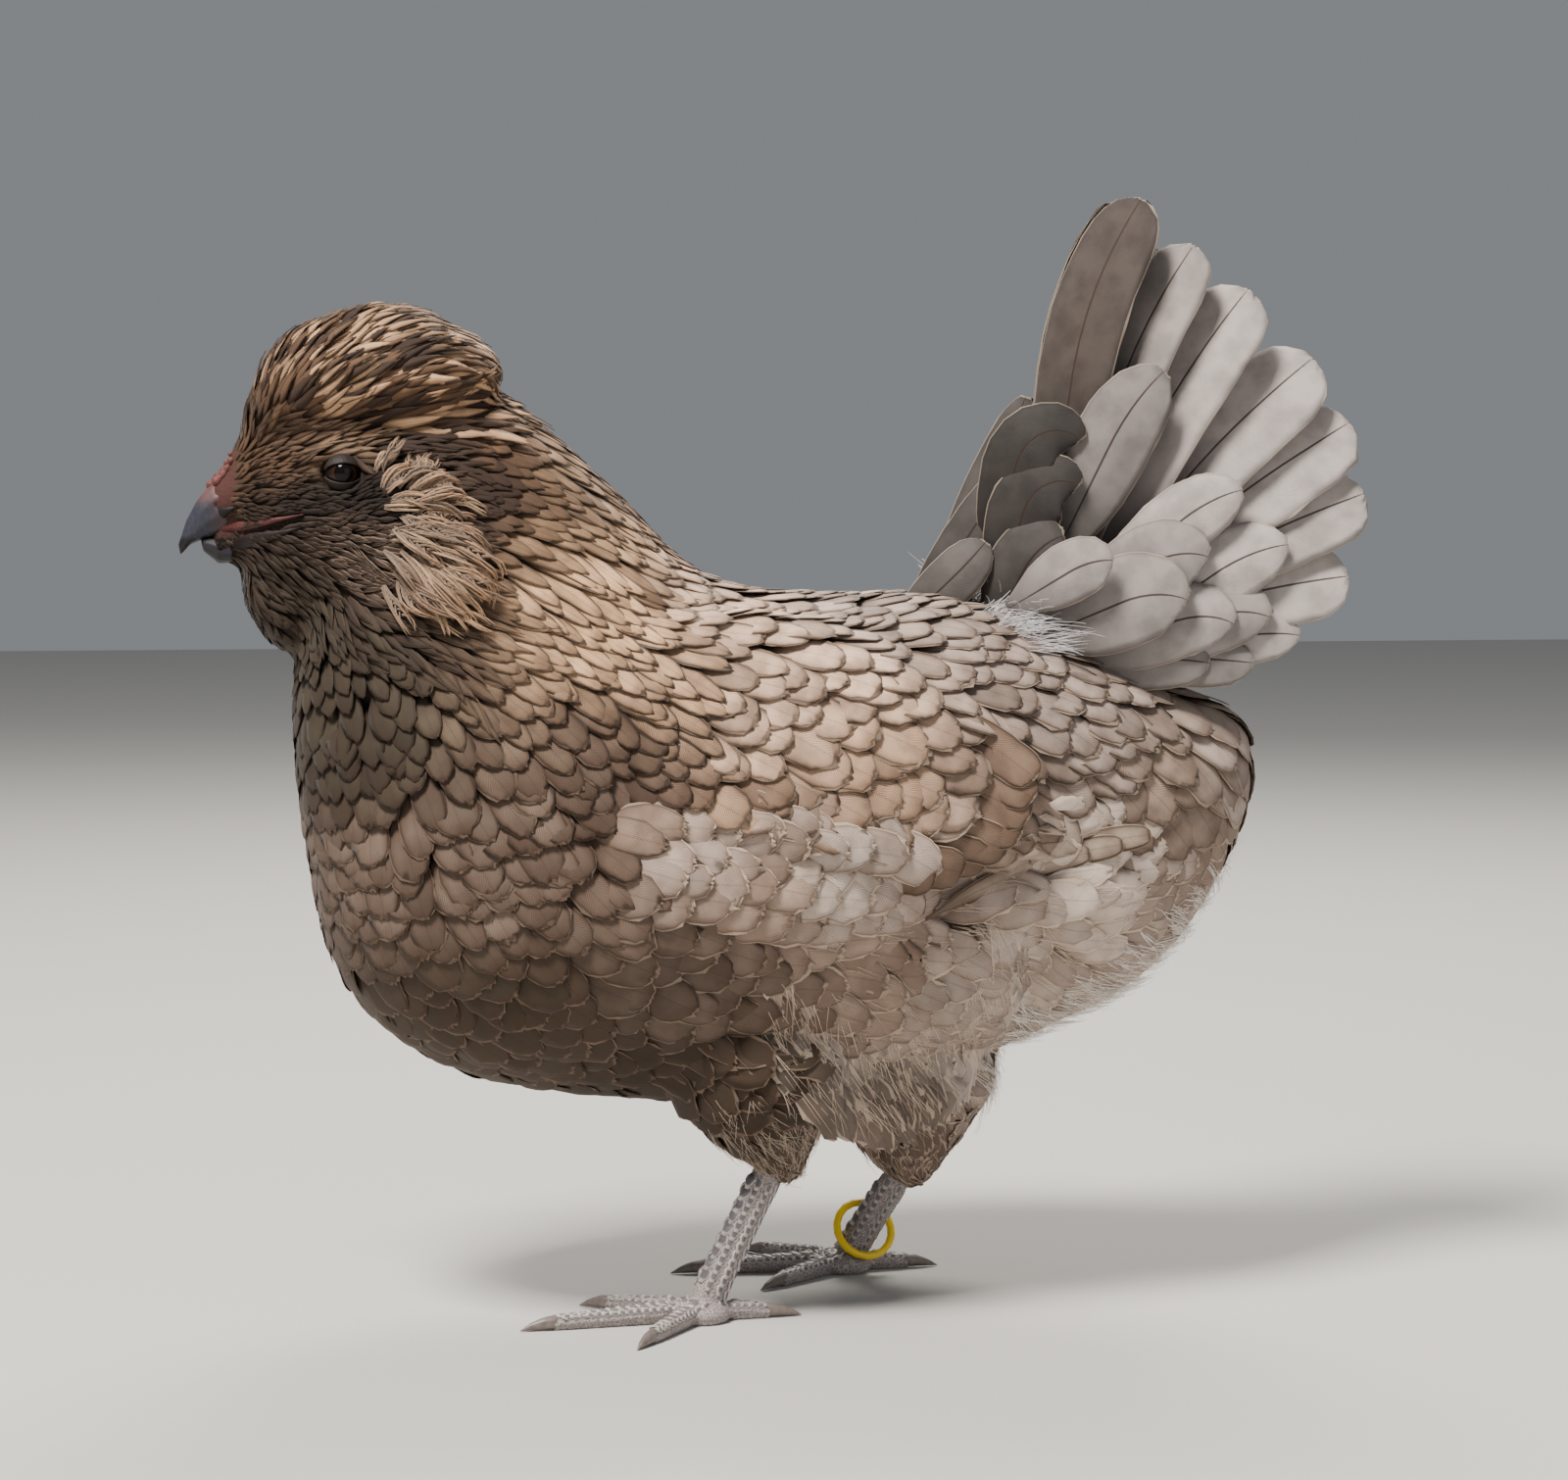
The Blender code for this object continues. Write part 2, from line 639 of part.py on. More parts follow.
def muffs():
    for name, side in SIDES:
        draw = random.Random(SEED + side)
        pieces = locks(MUFF, MUFF_ROWS, MUFF_SPREAD, 95, MUFF_STANDS_AT, side, draw)
        core = coat_core(MUFF, MUFF_STANDS_AT, side)
        fused(core, pieces, "muff_" + name, MUFF_PLUMAGE)


def beard():
    draw = random.Random(SEED)
    pieces = locks(BEARD, BEARD_ROWS, BEARD_SPREAD, 180, 0, 1, draw)
    fused(coat_core(BEARD), pieces, "beard", MUFF_PLUMAGE)


def wing_place(side, along, across, stands):
    """A place over the folded wing. It is counted along from the shoulder and across from the top edge."""
    edges = [spline([Vector(p) for p in line], along) for line in (WING_TOP, WING_MIDDLE, WING_BOTTOM)]
    y, z = spline(edges, across)
    place, normal = SKIN.beside(side, y, z)
    return place + normal * stands, normal


def wing_core(side):
    lengths, widths = WING_CORE_STEPS
    over, under = [], []
    for k in range(lengths + 1):
        along = k * (len(WING_TOP) - 1) / lengths
        spots = [2 * j / widths for j in range(widths + 1)]
        heights = [WING_CORE * (0.5 if spot in (0, 2) else 1) for spot in spots]
        over.append([wing_place(side, along, spot, height)[0] for spot, height in zip(spots, heights)])
        under.append([wing_place(side, along, spot, -WING_SINKS)[0] for spot in spots])
    return plate(over, under)


def wing_feather(side, start, reach, across, drop, half_width, lift):
    """A feather along the folded wing, from inside its core to its tip over the next row."""
    places, faces = [], []
    for share, _ in WING_SHAPE:
        height = WING_ROOT + (lift - WING_ROOT) * share
        place, normal = wing_place(side, start + reach * share, across + drop * share, height)
        places.append(place)
        faces.append(normal)
    widths = [half_width * size for _, size in WING_SHAPE]
    return vane(places, faces, widths, [WING_VANE] * len(widths), rows=2)


def wing_row(side, row, reach, stagger, drop, lift):
    """A row of feathers side by side, from the top edge of the wing to the bottom one."""
    start, count = row
    for i in range(count):
        across = WING_INSET + 2 * (1 - WING_INSET) * (i + 0.5 + stagger) / count
        aside = (1 - WING_INSET) / count
        edges = [wing_place(side, start + reach / 2, across + way * aside, 0)[0] for way in (-1, 1)]
        half_width = (edges[0] - edges[1]).length / 2 * ROW_FILL
        yield wing_feather(side, start, reach, across, drop, half_width, lift)


def wing(name, side):
    """Rows of coverts from the shoulder backwards, then the tips of the flight feathers."""
    pieces = []
    for number, row in enumerate(WING_ROWS):
        stagger = WING_STAGGER if number % 2 else -WING_STAGGER
        pieces += wing_row(side, row, WING_REACHES[0], stagger, COVERT_DROP, WING_LIFTS[0])
    pieces += wing_row(side, WING_QUILLS, WING_REACHES[1], 0.0, 0.0, WING_LIFTS[1])
    fused(wing_core(side), pieces, "wing_" + name, BODY_PLUMAGE)


def between(keys, values, at):
    """The value at a place between falling keys."""
    for (high, first), (low, second) in zip(zip(keys, values), zip(keys[1:], values[1:])):
        if at >= low:
            return first + (second - first) * (high - at) / (high - low)
    return values[-1]


def fan_place(side, angle, reach):
    """A place on one half of the folded fan and the way that it faces."""
    full = between(FAN_ANGLES, FAN_TIP_X, angle)
    x = FAN_ROOT_X + (full - FAN_ROOT_X) * min(1.0, reach / FAN_SPREAD) ** FAN_SPREAD_BEND
    turn = math.radians(between(FAN_ANGLES, FAN_TURNS, angle))
    slope = math.radians(angle)
    y, z = FAN_ROOT[0] + reach * math.cos(slope), FAN_ROOT[1] + reach * math.sin(slope)
    up = Vector((0, -math.sin(slope), math.cos(slope)))
    return Vector((side * x, y, z)), Vector((side * math.cos(turn), 0, 0)) + up * math.sin(turn)


def fan_feather(side, feather, lift, start, shape, rows):
    """A tail feather: a bare quill in the core, then a vane with a round tip, tilted like a tile."""
    places, faces = [], []
    for share, _ in shape:
        bow = between(FAN_ANGLES, FAN_BOWS, feather.angle) * math.sin(math.pi * share)
        place, face = fan_place(side, feather.angle + bow, start + (feather.reach - start) * share)
        places.append(place + face * (lift * min(1.0, share * COVERT_RISE)))
        faces.append(face)
    tilted = []
    for k, face in enumerate(faces):
        ahead = places[min(k + 1, len(places) - 1)] - places[max(k - 1, 0)]
        tilted.append(Matrix.Rotation(math.radians(-side * VANE_TILT), 3, ahead) @ face)
    widths = [feather.width / 2 * size for _, size in shape]
    thicknesses = [VANE_THICKNESS * 1.6] + [VANE_THICKNESS] * (len(shape) - 2) + [VANE_THICKNESS * 0.6]
    return vane(places, tilted, widths, thicknesses, rows)


def tail_core():
    across, lean = Vector((1, 0, 0)), Vector(TAIL_CORE_LEAN).normalized()
    return loft([ellipse(Vector(c), across, lean.cross(across), w, d, 10) for c, w, d in TAIL_CORE])


def tail():
    """Seven pairs of tail feathers with their coverts in tiers, all rooted in one core."""
    pieces = []
    for _, side in SIDES:
        for feather in RECTRICES:
            pieces.append(fan_feather(side, feather, 0.0, RECTRIX_START, RECTRIX_SHAPE, 3))
        for tier, lift in zip(COVERTS, COVERT_LIFTS):
            for feather in tier:
                pieces.append(fan_feather(side, Feather(*feather), lift, COVERT_START, COVERT_SHAPE, 2))
    fused(tail_core(), pieces, "tail", TAIL_PLUMAGE)


def thigh(name, side):
    leg = LEGS[name]
    hub, knee = Vector((*leg.hub, HUB_CENTRE_Z)), Vector(leg.knee)
    rise = (knee - hub).normalized()
    across = Vector((1, 0, 0))
    rings = []
    for k, (centre, half_width, half_depth) in enumerate(leg.thigh):
        lean = rise if k == len(leg.thigh) - 1 else Vector((0, 0, 1))
        rings.append(ellipse(Vector(centre), across, lean.cross(across), half_width, half_depth, 13))
    cut_clear(put(loft(rings), "thigh_" + name, BODY_PLUMAGE), [grown_flesh()])


def toe_direction(side, turn):
    angle = math.radians(turn) * side
    return Vector((math.sin(angle), -math.cos(angle), 0))


def shank(name, side):
    """The bare leg with the hub of its foot, flat where it stands and where the toes start."""
    leg = LEGS[name]
    hub, knee = Vector((*leg.hub, HUB_CENTRE_Z)), Vector(leg.knee)
    rise = (knee - hub).normalized()
    across = Vector((1, 0, 0))
    rings = []
    for k, radius in enumerate(SHANK_RADII):
        centre = hub.lerp(knee, SHANK_FROM + (1 - SHANK_FROM) * k / (len(SHANK_RADII) - 1))
        rings.append(ellipse(centre, across, rise.cross(across), radius, radius * 1.05, 12))
    made = put(loft(rings), "shank_" + name, SCALED_SKIN)
    added = [foot_hub(hub, side)] + list(scutes(hub, knee, leg.scutes))
    boolean(made, "UNION", [put(piece, "piece", None, CUTTERS) for piece in added])
    return smooth(made)


def scutes(hub, knee, count):
    """Two rows of six-sided plates down the front of the shank, set in turn like bricks."""
    rise = (knee - hub).normalized()
    across = Vector((1, 0, 0))
    front = rise.cross(across)
    front *= -math.copysign(1, front.y)
    for k in range(count):
        for row in (-1, 1):
            share = SCUTES_FROM + (SCUTES_TO - SCUTES_FROM) * (k + 0.25 + 0.25 * row) / (count - 0.5)
            turn = math.radians(SCUTE_TURN) * row
            outwards = front * math.cos(turn) + across * math.sin(turn)
            radius = spline(SHANK_RADII, share * (len(SHANK_RADII) - 1))
            bm = bmesh.new()
            wide, high = SCUTE_SIZE
            bmesh.ops.create_cone(
                bm, cap_ends=True, segments=6, radius1=wide, radius2=wide * 0.75, depth=high
            )
            yield turned(bm, outwards, hub.lerp(knee, share) + outwards * radius)


def foot_hub(hub, side):
    """A rounded block, flat where it stands and where the toes start."""
    bm = sphere(hub, HUB_SIZE, 16, 8)
    planes = [(Vector((0, 0, 0)), Vector((0, 0, -1)))]
    for turn, _, _ in TOES:
        ahead = toe_direction(side, turn)
        planes.append((Vector((hub.x, hub.y, 0)) + ahead * (TOE_STARTS - GAP), ahead))
    for place, outwards in planes:
        geometry = bm.verts[:] + bm.edges[:] + bm.faces[:]
        cut = bmesh.ops.bisect_plane(
            bm, geom=geometry, dist=1e-5, plane_co=place, plane_no=outwards, clear_outer=True
        )
        edges = [e for e in cut["geom_cut"] if isinstance(e, bmesh.types.BMEdge)]
        bmesh.ops.edgenet_fill(bm, edges=edges)
    return bm


def toe_ring(centre, ahead, half_width, height, count=6):
    """A ring across a toe, flat along the ground."""
    across = ahead.cross(Vector((0, 0, 1)))
    ring = []
    for i in range(count):
        turn = math.tau * (i + 0.5) / count
        z = height * (0.5 + 0.5 * math.cos(turn))
        ring.append(centre + across * half_width * math.sin(turn) + Vector((0, 0, z)))
    lowest = min(point.z for point in ring)
    for point in ring:
        point.z = (point.z - lowest) * height / (height - 2 * lowest)
    return ring


def toes(name, side):
    """Four toes that lie along the ground, with raised scutes across their tops, and their claws."""
    hub = Vector((*LEGS[name].hub, 0))
    for number, (turn, length, scutes) in enumerate(TOES, 1):
        ahead = toe_direction(side, turn)
        end = length - CLAW_LENGTH
        rings = []
        steps = 2 * scutes
        for k in range(steps + 1):
            share = k / steps
            at = TOE_STARTS + (end - TOE_STARTS) * share
            size = 1 - (1 - TOE_TAPER) * share
            raised = 1.0 if k % 2 else 0.9
            ring = toe_ring(hub + ahead * at, ahead, TOE_WIDTH * size, TOE_HEIGHT * size * raised)
            rings.append(ring)
        smooth(put(loft(rings), f"toe_{name}_{number}", SCALED_SKIN), 30)
        claw_rings = []
        for share, size, drop in CLAW_SHAPE:
            radius = CLAW_RADIUS * size
            height = TOE_HEIGHT * TOE_TAPER * 0.5 - drop
            centre = hub + ahead * (end + GAP + (CLAW_LENGTH - GAP) * share) + Vector((0, 0, height))
            across = ahead.cross(Vector((0, 0, 1)))
            claw_rings.append(ellipse(centre, across, Vector((0, 0, 1)), radius * 0.85, radius, 6))
        smooth(put(loft(claw_rings), f"claw_{name}_{number}", HORN), 60)


def leg_ring():
    bm = torus(RING_RADIUS, RING_BAND, 18, 6)
    smooth(put(turned(bm, Vector(RING_FACES), Vector(RING_CENTRE)), "leg_ring", RING_YELLOW), 80)


head()
neck()
torso()
eyes()
bills()
crest()
muffs()
beard()
for name, side in SIDES:
    wing(name, side)
    thigh(name, side)
    shank(name, side)
    toes(name, side)
tail()
leg_ring()
SKIN.bm.free()
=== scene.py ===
# %% [markdown]
# A hen, feather by feather
#
# This scene dresses a plain solid model of a standing araucana hen. The solid gives the size and the
# outline. Here a skin goes just inside that outline, and thousands of thin feathers grow from the skin.
# First come the tools that are used everywhere, then the skin, then the plumage region by region, and
# at the end the bare parts: eyes, bill, comb, legs, claws and the ring on one leg.

# %% Load the solid model
import json
import math
from collections import namedtuple

import bmesh
import bpy
import numpy as np
from mathutils import Matrix, Vector, noise
from mathutils.bvhtree import BVHTree

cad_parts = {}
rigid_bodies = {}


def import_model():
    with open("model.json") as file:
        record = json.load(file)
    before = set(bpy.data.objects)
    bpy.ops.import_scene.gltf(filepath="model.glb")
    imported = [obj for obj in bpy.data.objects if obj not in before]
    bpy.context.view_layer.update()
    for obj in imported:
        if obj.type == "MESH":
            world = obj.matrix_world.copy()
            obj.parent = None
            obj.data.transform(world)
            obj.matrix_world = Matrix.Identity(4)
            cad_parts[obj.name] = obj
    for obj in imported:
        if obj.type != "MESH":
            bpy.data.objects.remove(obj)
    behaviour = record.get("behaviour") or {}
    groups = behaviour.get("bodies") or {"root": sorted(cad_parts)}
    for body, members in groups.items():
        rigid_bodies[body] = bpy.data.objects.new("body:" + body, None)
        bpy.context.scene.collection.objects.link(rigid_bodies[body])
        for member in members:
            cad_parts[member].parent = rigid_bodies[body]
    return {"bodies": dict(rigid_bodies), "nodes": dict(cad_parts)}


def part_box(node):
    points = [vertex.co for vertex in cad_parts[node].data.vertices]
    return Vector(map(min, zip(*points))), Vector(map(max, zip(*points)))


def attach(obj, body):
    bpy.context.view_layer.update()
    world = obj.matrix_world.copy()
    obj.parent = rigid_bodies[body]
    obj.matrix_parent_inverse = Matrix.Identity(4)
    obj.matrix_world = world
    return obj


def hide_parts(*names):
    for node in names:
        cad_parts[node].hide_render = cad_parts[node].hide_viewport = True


MM = 0.001
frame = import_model()
BODY = list(frame["bodies"])[0]
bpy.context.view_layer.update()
SIDES = (("left", 1), ("right", -1))
print("solid parts:", len(frame["nodes"]), "on the body", BODY)

# %% [markdown]
# The camera stands where the photographer stood: low, on the bird's left and a little in front of it.
# The bird faces -Y, so its left side is +X. A long lens far away keeps the head and tail in proportion.

# %% Camera
CAMERA_PLACE = (1191 * MM, -249.4 * MM, 261 * MM)
CAMERA_TURN, CAMERA_TILT = math.radians(78), math.radians(3.51)
SENSOR, LENS = 36.0, 84.4


def show(name, data):
    """An object for a mesh, a lamp or a camera, placed in the scene."""
    made = bpy.data.objects.new(name, data)
    bpy.context.scene.collection.objects.link(made)
    return made


def add_camera():
    data = bpy.data.cameras.new("camera")
    data.sensor_width, data.lens = SENSOR, LENS
    camera = show("camera", data)
    camera.location = CAMERA_PLACE
    camera.rotation_euler = (math.pi / 2 - CAMERA_TILT, 0, CAMERA_TURN)
    bpy.context.scene.camera = camera


add_camera()
print("camera at", CAMERA_PLACE)

# %% [markdown]
# The floor is one large pale sheet of paper, not attached to the bird's body. It belongs to the stage, so it
# isn't taken for a part of the bird. Like every mesh here it starts as a bmesh, which is turned into a mesh
# once it is finished.

# %% Floor
FLOOR_HALF, FLOOR_COLOUR = 6.0, (0.50, 0.49, 0.47, 1)


def mesh_of(name, bm):
    """The mesh of a finished bmesh, which is freed."""
    mesh = bpy.data.meshes.new(name)
    bm.to_mesh(mesh)
    bm.free()
    return mesh


def add_floor():
    bm = bmesh.new()
    bmesh.ops.create_grid(bm, x_segments=1, y_segments=1, size=FLOOR_HALF)
    floor = show("floor", mesh_of("floor", bm))
    paper = bpy.data.materials.new("floor_paper")
    paper.use_nodes = True
    surface = paper.node_tree.nodes["Principled BSDF"]
    surface.inputs["Base Color"].default_value = FLOOR_COLOUR
    surface.inputs["Roughness"].default_value = 0.9
    floor.data.materials.append(paper)


add_floor()
print("floor:", 2 * FLOOR_HALF, "m wide")

# %% [markdown]
# A strong soft lamp above the camera's left gives the daylight its direction. A broad weak one on the
# other side opens the shadows, and one from behind edges the feathers. The sky adds an even glow.

# %% Lamps and sky
LAMPS = (
    ("key", (0.9, -1.0, 2.3), 0.7, 165, (1.0, 0.95, 0.88)),
    ("fill", (1.9, 0.9, 0.8), 1.6, 8, (0.92, 0.96, 1.0)),
    ("rim", (-1.3, 0.5, 1.7), 0.9, 46, (1.0, 0.95, 0.88)),
)
LAMP_AIM = Vector((0, 0, 180 * MM))
SKY_COLOUR, SKY_STRENGTH = (0.80, 0.84, 0.88, 1), 0.28


def add_lamp(name, place, size, watts, colour):
    """A square soft lamp that points at the middle of the bird."""
    data = bpy.data.lights.new(name, "AREA")
    data.size, data.energy, data.color = size, watts, colour
    lamp = show(name, data)
    lamp.location = place
    lamp.rotation_euler = (LAMP_AIM - Vector(place)).to_track_quat("-Z", "Y").to_euler()


def add_sky():
    sky = bpy.data.worlds.new("room")
    sky.use_nodes = True
    glow = sky.node_tree.nodes["Background"]
    glow.inputs["Color"].default_value = SKY_COLOUR
    glow.inputs["Strength"].default_value = SKY_STRENGTH
    bpy.context.scene.world = sky


for lamp in LAMPS:
    add_lamp(*lamp)
add_sky()
print("lamps:", len(LAMPS))

# %% [markdown]
# Materials are small networks of nodes. Linking them one by one is long to write, so a helper makes a
# node, sets its values and links its inputs in one line. A value that is another node's output is
# linked, and anything else is set on the socket itself.

# %% Node helper
class Shader:
    """A material and short ways to add nodes to it."""

    def __init__(self, name, roughness=0.6, **sockets):
        self.material = bpy.data.materials.new(name)
        self.material.use_nodes = True
        self.tree = self.material.node_tree
        self.surface = self.tree.nodes["Principled BSDF"]
        self.put(self.surface, Roughness=roughness, **sockets)

    def put(self, node, **sockets):
        for key, value in sockets.items():
            key = int(key[1:]) if key[0] == "_" else key.replace("_", " ")
            if isinstance(value, bpy.types.NodeSocket):
                self.tree.links.new(value, node.inputs[key])
            else:
                node.inputs[key].default_value = value
        return node

    def add(self, kind, settings=None, **sockets):
        node = self.tree.nodes.new("ShaderNode" + kind)
        for key, value in (settings or {}).items():
            setattr(node, key, value)
        return self.put(node, **sockets)

    def attribute(self, name):
        return self.add("Attribute", {"attribute_name": name}).outputs

    def here(self):
        """Each point's place on its piece, in metres."""
        return self.add("TexCoord").outputs["Object"]

    def split(self, vector):
        """The three numbers of a vector. An attribute of the mesh is given by its name."""
        vector = self.attribute(vector)["Vector"] if isinstance(vector, str) else vector
        return self.add("SeparateXYZ", None, Vector=vector).outputs

    def math(self, operation, a, b=0.0, clamp=False):
        return self.add("Math", {"operation": operation, "use_clamp": clamp}, _0=a, _1=b).outputs[0]

    def times(self, a, b, clamp=False):
        return self.math("MULTIPLY", a, b, clamp)

    def plus(self, a, b):
        return self.math("ADD", a, b)

    def minus(self, a, b):
        return self.math("SUBTRACT", a, b)

    def larger(self, a, b):
        return self.math("MAXIMUM", a, b)

    def mix(self, factor, a, b):
        node = self.add("Mix", {"data_type": "RGBA"}, _0=factor)
        for socket, value in ((node.inputs[6], a), (node.inputs[7], b)):
            if isinstance(value, bpy.types.NodeSocket):
                self.tree.links.new(value, socket)
            else:
                socket.default_value = (*value, 1.0) if len(value) == 3 else value
        return node.outputs[2]

    def ramp(self, value, low, high, start=0.0, end=1.0):
        """The value moved from the range low to high into the range start to end, smoothly."""
        settings = {"interpolation_type": "SMOOTHSTEP"}
        return self.add("MapRange", settings, _0=value, _1=low, _2=high, _3=start, _4=end).outputs[0]

    def noise(self, scale, detail):
        return self.add("TexNoise", None, Vector=self.here(), Scale=scale, Detail=detail).outputs[0]

    def bump(self, height, strength, distance):
        normal = self.add("Bump", None, Strength=strength, Distance=distance, Height=height)
        self.put(self.surface, Normal=normal.outputs[0])


print("node helper ready")

# %% [markdown]
# The solid's flesh nodes reach out to the tips of the plumage. Copies of them are joined, with plain
# hulls round the crest, the muffs, the beard and the wings. The root of the bill would leave a gap in
# the face, so its points, grown a little and moved back, get a hull too: flesh that wraps the bill.

# %% Copies of the solid's parts
FLESH = ("head", "neck", "torso", "thigh_left", "thigh_right")
TUFTED = ("crest", "muff_left", "muff_right", "beard", "wing_left", "wing_right")
BILL_FLESH_ENDS, BILL_FLESH_BACK, BILL_FLESH_GROWS = -184, 7, 1.1


def corners_of(node):
    """The places of a solid node's corners."""
    return [vertex.co.copy() for vertex in frame["nodes"][node].data.vertices]


def add_hull(bm, points):
    """Adds a plain hull round some points."""
    tuft = bmesh.new()
    for point in points:
        tuft.verts.new(point)
    hull = bmesh.ops.convex_hull(tuft, input=tuft.verts)
    bmesh.ops.delete(tuft, geom=hull["geom_interior"], context="VERTS")
    shell = mesh_of("hull", tuft)
    bm.from_mesh(shell)
    bpy.data.meshes.remove(shell)


def copy_of(names, new_name, hulls=()):
    """A new object that holds the joined copies of some solid nodes, and plain hulls round others."""
    bm = bmesh.new()
    for name in names:
        bm.from_mesh(frame["nodes"][name].data)
    bmesh.ops.remove_doubles(bm, verts=bm.verts, dist=0.001 * MM)
    for name in hulls:
        add_hull(bm, corners_of(name))
    return show(new_name, mesh_of(new_name, bm))


def add_bill_flesh(made):
    """Closes the gap between face and bill with flesh that wraps the bill's root."""
    bm = bmesh.new()
    bm.from_mesh(made.data)
    back = Vector((0, BILL_FLESH_BACK * MM, 0))
    for node in ("bill_upper", "bill_lower"):
        root = [point for point in corners_of(node) if point.y > BILL_FLESH_ENDS * MM]
        middle = sum(root, Vector()) / len(root)
        grown = [middle + (point - middle) * BILL_FLESH_GROWS for point in root]
        add_hull(bm, [place for point in grown for place in (point, point + back)])
    made.data = mesh_of(made.name, bm)
    return made


form = add_bill_flesh(copy_of(FLESH, "form", TUFTED))
print("joined copies:", len(form.data.vertices), "vertices")

# %% [markdown]
# A voxel remesh fuses the copies into one closed skin. Plain smoothing would shrink the bird, so the
# mesh is pulled in and pushed out in turns, which takes off small bumps and keeps the volume. The
# form is never shown. It is the hull that feather tips lie in, and all that grows finds its place and
# its facing on it.

# %% The outer form of the bird
FORM_VOXEL = 2.4 * MM
PULL_IN, PUSH_OUT = 0.5, -0.52


def bake_modifiers(made):
    """Makes what the modifiers show the object's own mesh."""
    graph = bpy.context.evaluated_depsgraph_get()
    mesh = bpy.data.meshes.new_from_object(made.evaluated_get(graph))
    made.modifiers.clear()
    made.data = mesh
    return made


def remeshed(made, voxel, rounds):
    """Fuses a mesh on a grid of small cubes and smooths it."""
    remesh = made.modifiers.new("remesh", "REMESH")
    remesh.mode, remesh.voxel_size = "VOXEL", voxel
    smooth = made.modifiers.new("smooth", "SMOOTH")
    smooth.factor, smooth.iterations = 0.5, rounds
    return bake_modifiers(made)


def points_of(mesh, what="co"):
    """The places of all vertices, or their normals, as rows of three numbers."""
    points = np.empty(len(mesh.vertices) * 3, np.float32)
    mesh.vertices.foreach_get(what, points)
    return points.reshape(-1, 3).astype(float)


def move_points(mesh, points):
    mesh.vertices.foreach_set("co", points.astype(np.float32).ravel())
    mesh.update()


def relax(mesh, rounds):
    """Takes small bumps off and keeps the volume, by pulling in and pushing out in turns."""
    points = points_of(mesh)
    ends = np.empty(len(mesh.edges) * 2, np.int32)
    mesh.edges.foreach_get("vertices", ends)
    first, second = ends.reshape(-1, 2).T
    links = np.bincount(ends, minlength=len(points))[:, None]
    for k in range(2 * rounds):
        total = np.zeros_like(points)
        np.add.at(total, first, points[second])
        np.add.at(total, second, points[first])
        points += (PULL_IN, PUSH_OUT)[k % 2] * (total / links - points)
    move_points(mesh, points)


form = remeshed(form, FORM_VOXEL, 2)
relax(form.data, 24)
print("form faces:", len(form.data.polygons))

# %% [markdown]
# A standing hen is not one smooth egg. The feathers of the flank billow over the lower edge of the
# wing, those of the rear hang in a lobe of their own, and there are valleys between these and the
# thigh. Each such swelling or valley is an oval on the side of the bird, pushed out or in.

# %% Swellings and valleys
Swell = namedtuple("Swell", "y z long high turned rise")
SWELLS = (
    Swell(-12, 142, 44, 20, 4, 5.5),
    Swell(27, 140, 12, 14, 0, 3.5),
    Swell(27, 124, 30, 7, 46, -7.0),
    Swell(100, 139, 32, 17, -4, 6.0),
    Swell(104, 118, 26, 10, 6, 2.5),
    Swell(78, 104, 26, 7, 96, -7.0),
    Swell(62, 147, 30, 6, 8, -6.0),
    Swell(40, 90, 24, 26, -30, 3.5),
    Swell(-60, 172, 8, 30, -20, -2.5),
)
SIDE_FROM = 20


def swell(mesh):
    """Moves the sides of the form out or in. The middle of the bird stays as it is."""
    points, normals = points_of(mesh), points_of(mesh, "normal")
    spots = points[:, 1:] / MM
    for oval in SWELLS:
        away = spots - (oval.y, oval.z)
        turn = math.radians(oval.turned)
        u = (away[:, 0] * math.cos(turn) + away[:, 1] * math.sin(turn)) / oval.long
        w = (away[:, 1] * math.cos(turn) - away[:, 0] * math.sin(turn)) / oval.high
        share = np.exp(-(u * u + w * w)) * np.abs(normals[:, 0]) * (np.abs(points[:, 0]) > SIDE_FROM * MM)
        points += normals * (share * oval.rise * MM)[:, None]
    move_points(mesh, points)


swell(form.data)
relax(form.data, 6)
print("swellings:", len(SWELLS))

# %% [markdown]
# Whatever grows on the bird asks the form for its nearest place and for its facing there. A BVH tree
# finds the triangle. The normals at its corners are mixed by their distance, so the facing changes
# smoothly from one triangle to the next.

# %% Find places on the form
class Surface:
    """Finds the nearest place on a mesh, with its smooth normal."""

    def __init__(self, mesh):
        self.bm = bmesh.new()
        self.bm.from_mesh(mesh)
        bmesh.ops.triangulate(self.bm, faces=self.bm.faces)
        self.bm.normal_update()
        self.bm.faces.ensure_lookup_table()
        self.tree = BVHTree.FromBMesh(self.bm)
        self.corners = np.array([[v.co for v in f.verts] for f in self.bm.faces])
        self.normals = np.array([[v.normal for v in f.verts] for f in self.bm.faces])

    def nearest(self, point):
        place, _, face, _ = self.tree.find_nearest(point)
        gaps = np.linalg.norm(self.corners[face] - np.array(place), axis=1)
        weights = 1 / (gaps + 0.1 * MM)
        return place, Vector(weights @ self.normals[face]).normalized()


FORM = Surface(form.data)
print("triangles of the form:", len(FORM.corners))

# %% [markdown]
# A colour is written as a picture shows it, in red, green and blue from 0 to 255. Shaders count with the
# light itself, so a small function translates. The names are the tones of this hen's plumage, from the dark
# moss of the throat to the pearl of the flank. The moss and olive tones are darkened as painted shade, and
# the peach and pearl tones are lightened as painted light.

# %% Colours
def tint(red, green, blue):
    """A colour as it is read off a picture, as the linear values that shaders use."""
    return tuple(((value / 255 + 0.055) / 1.055) ** 2.4 for value in (red, green, blue))
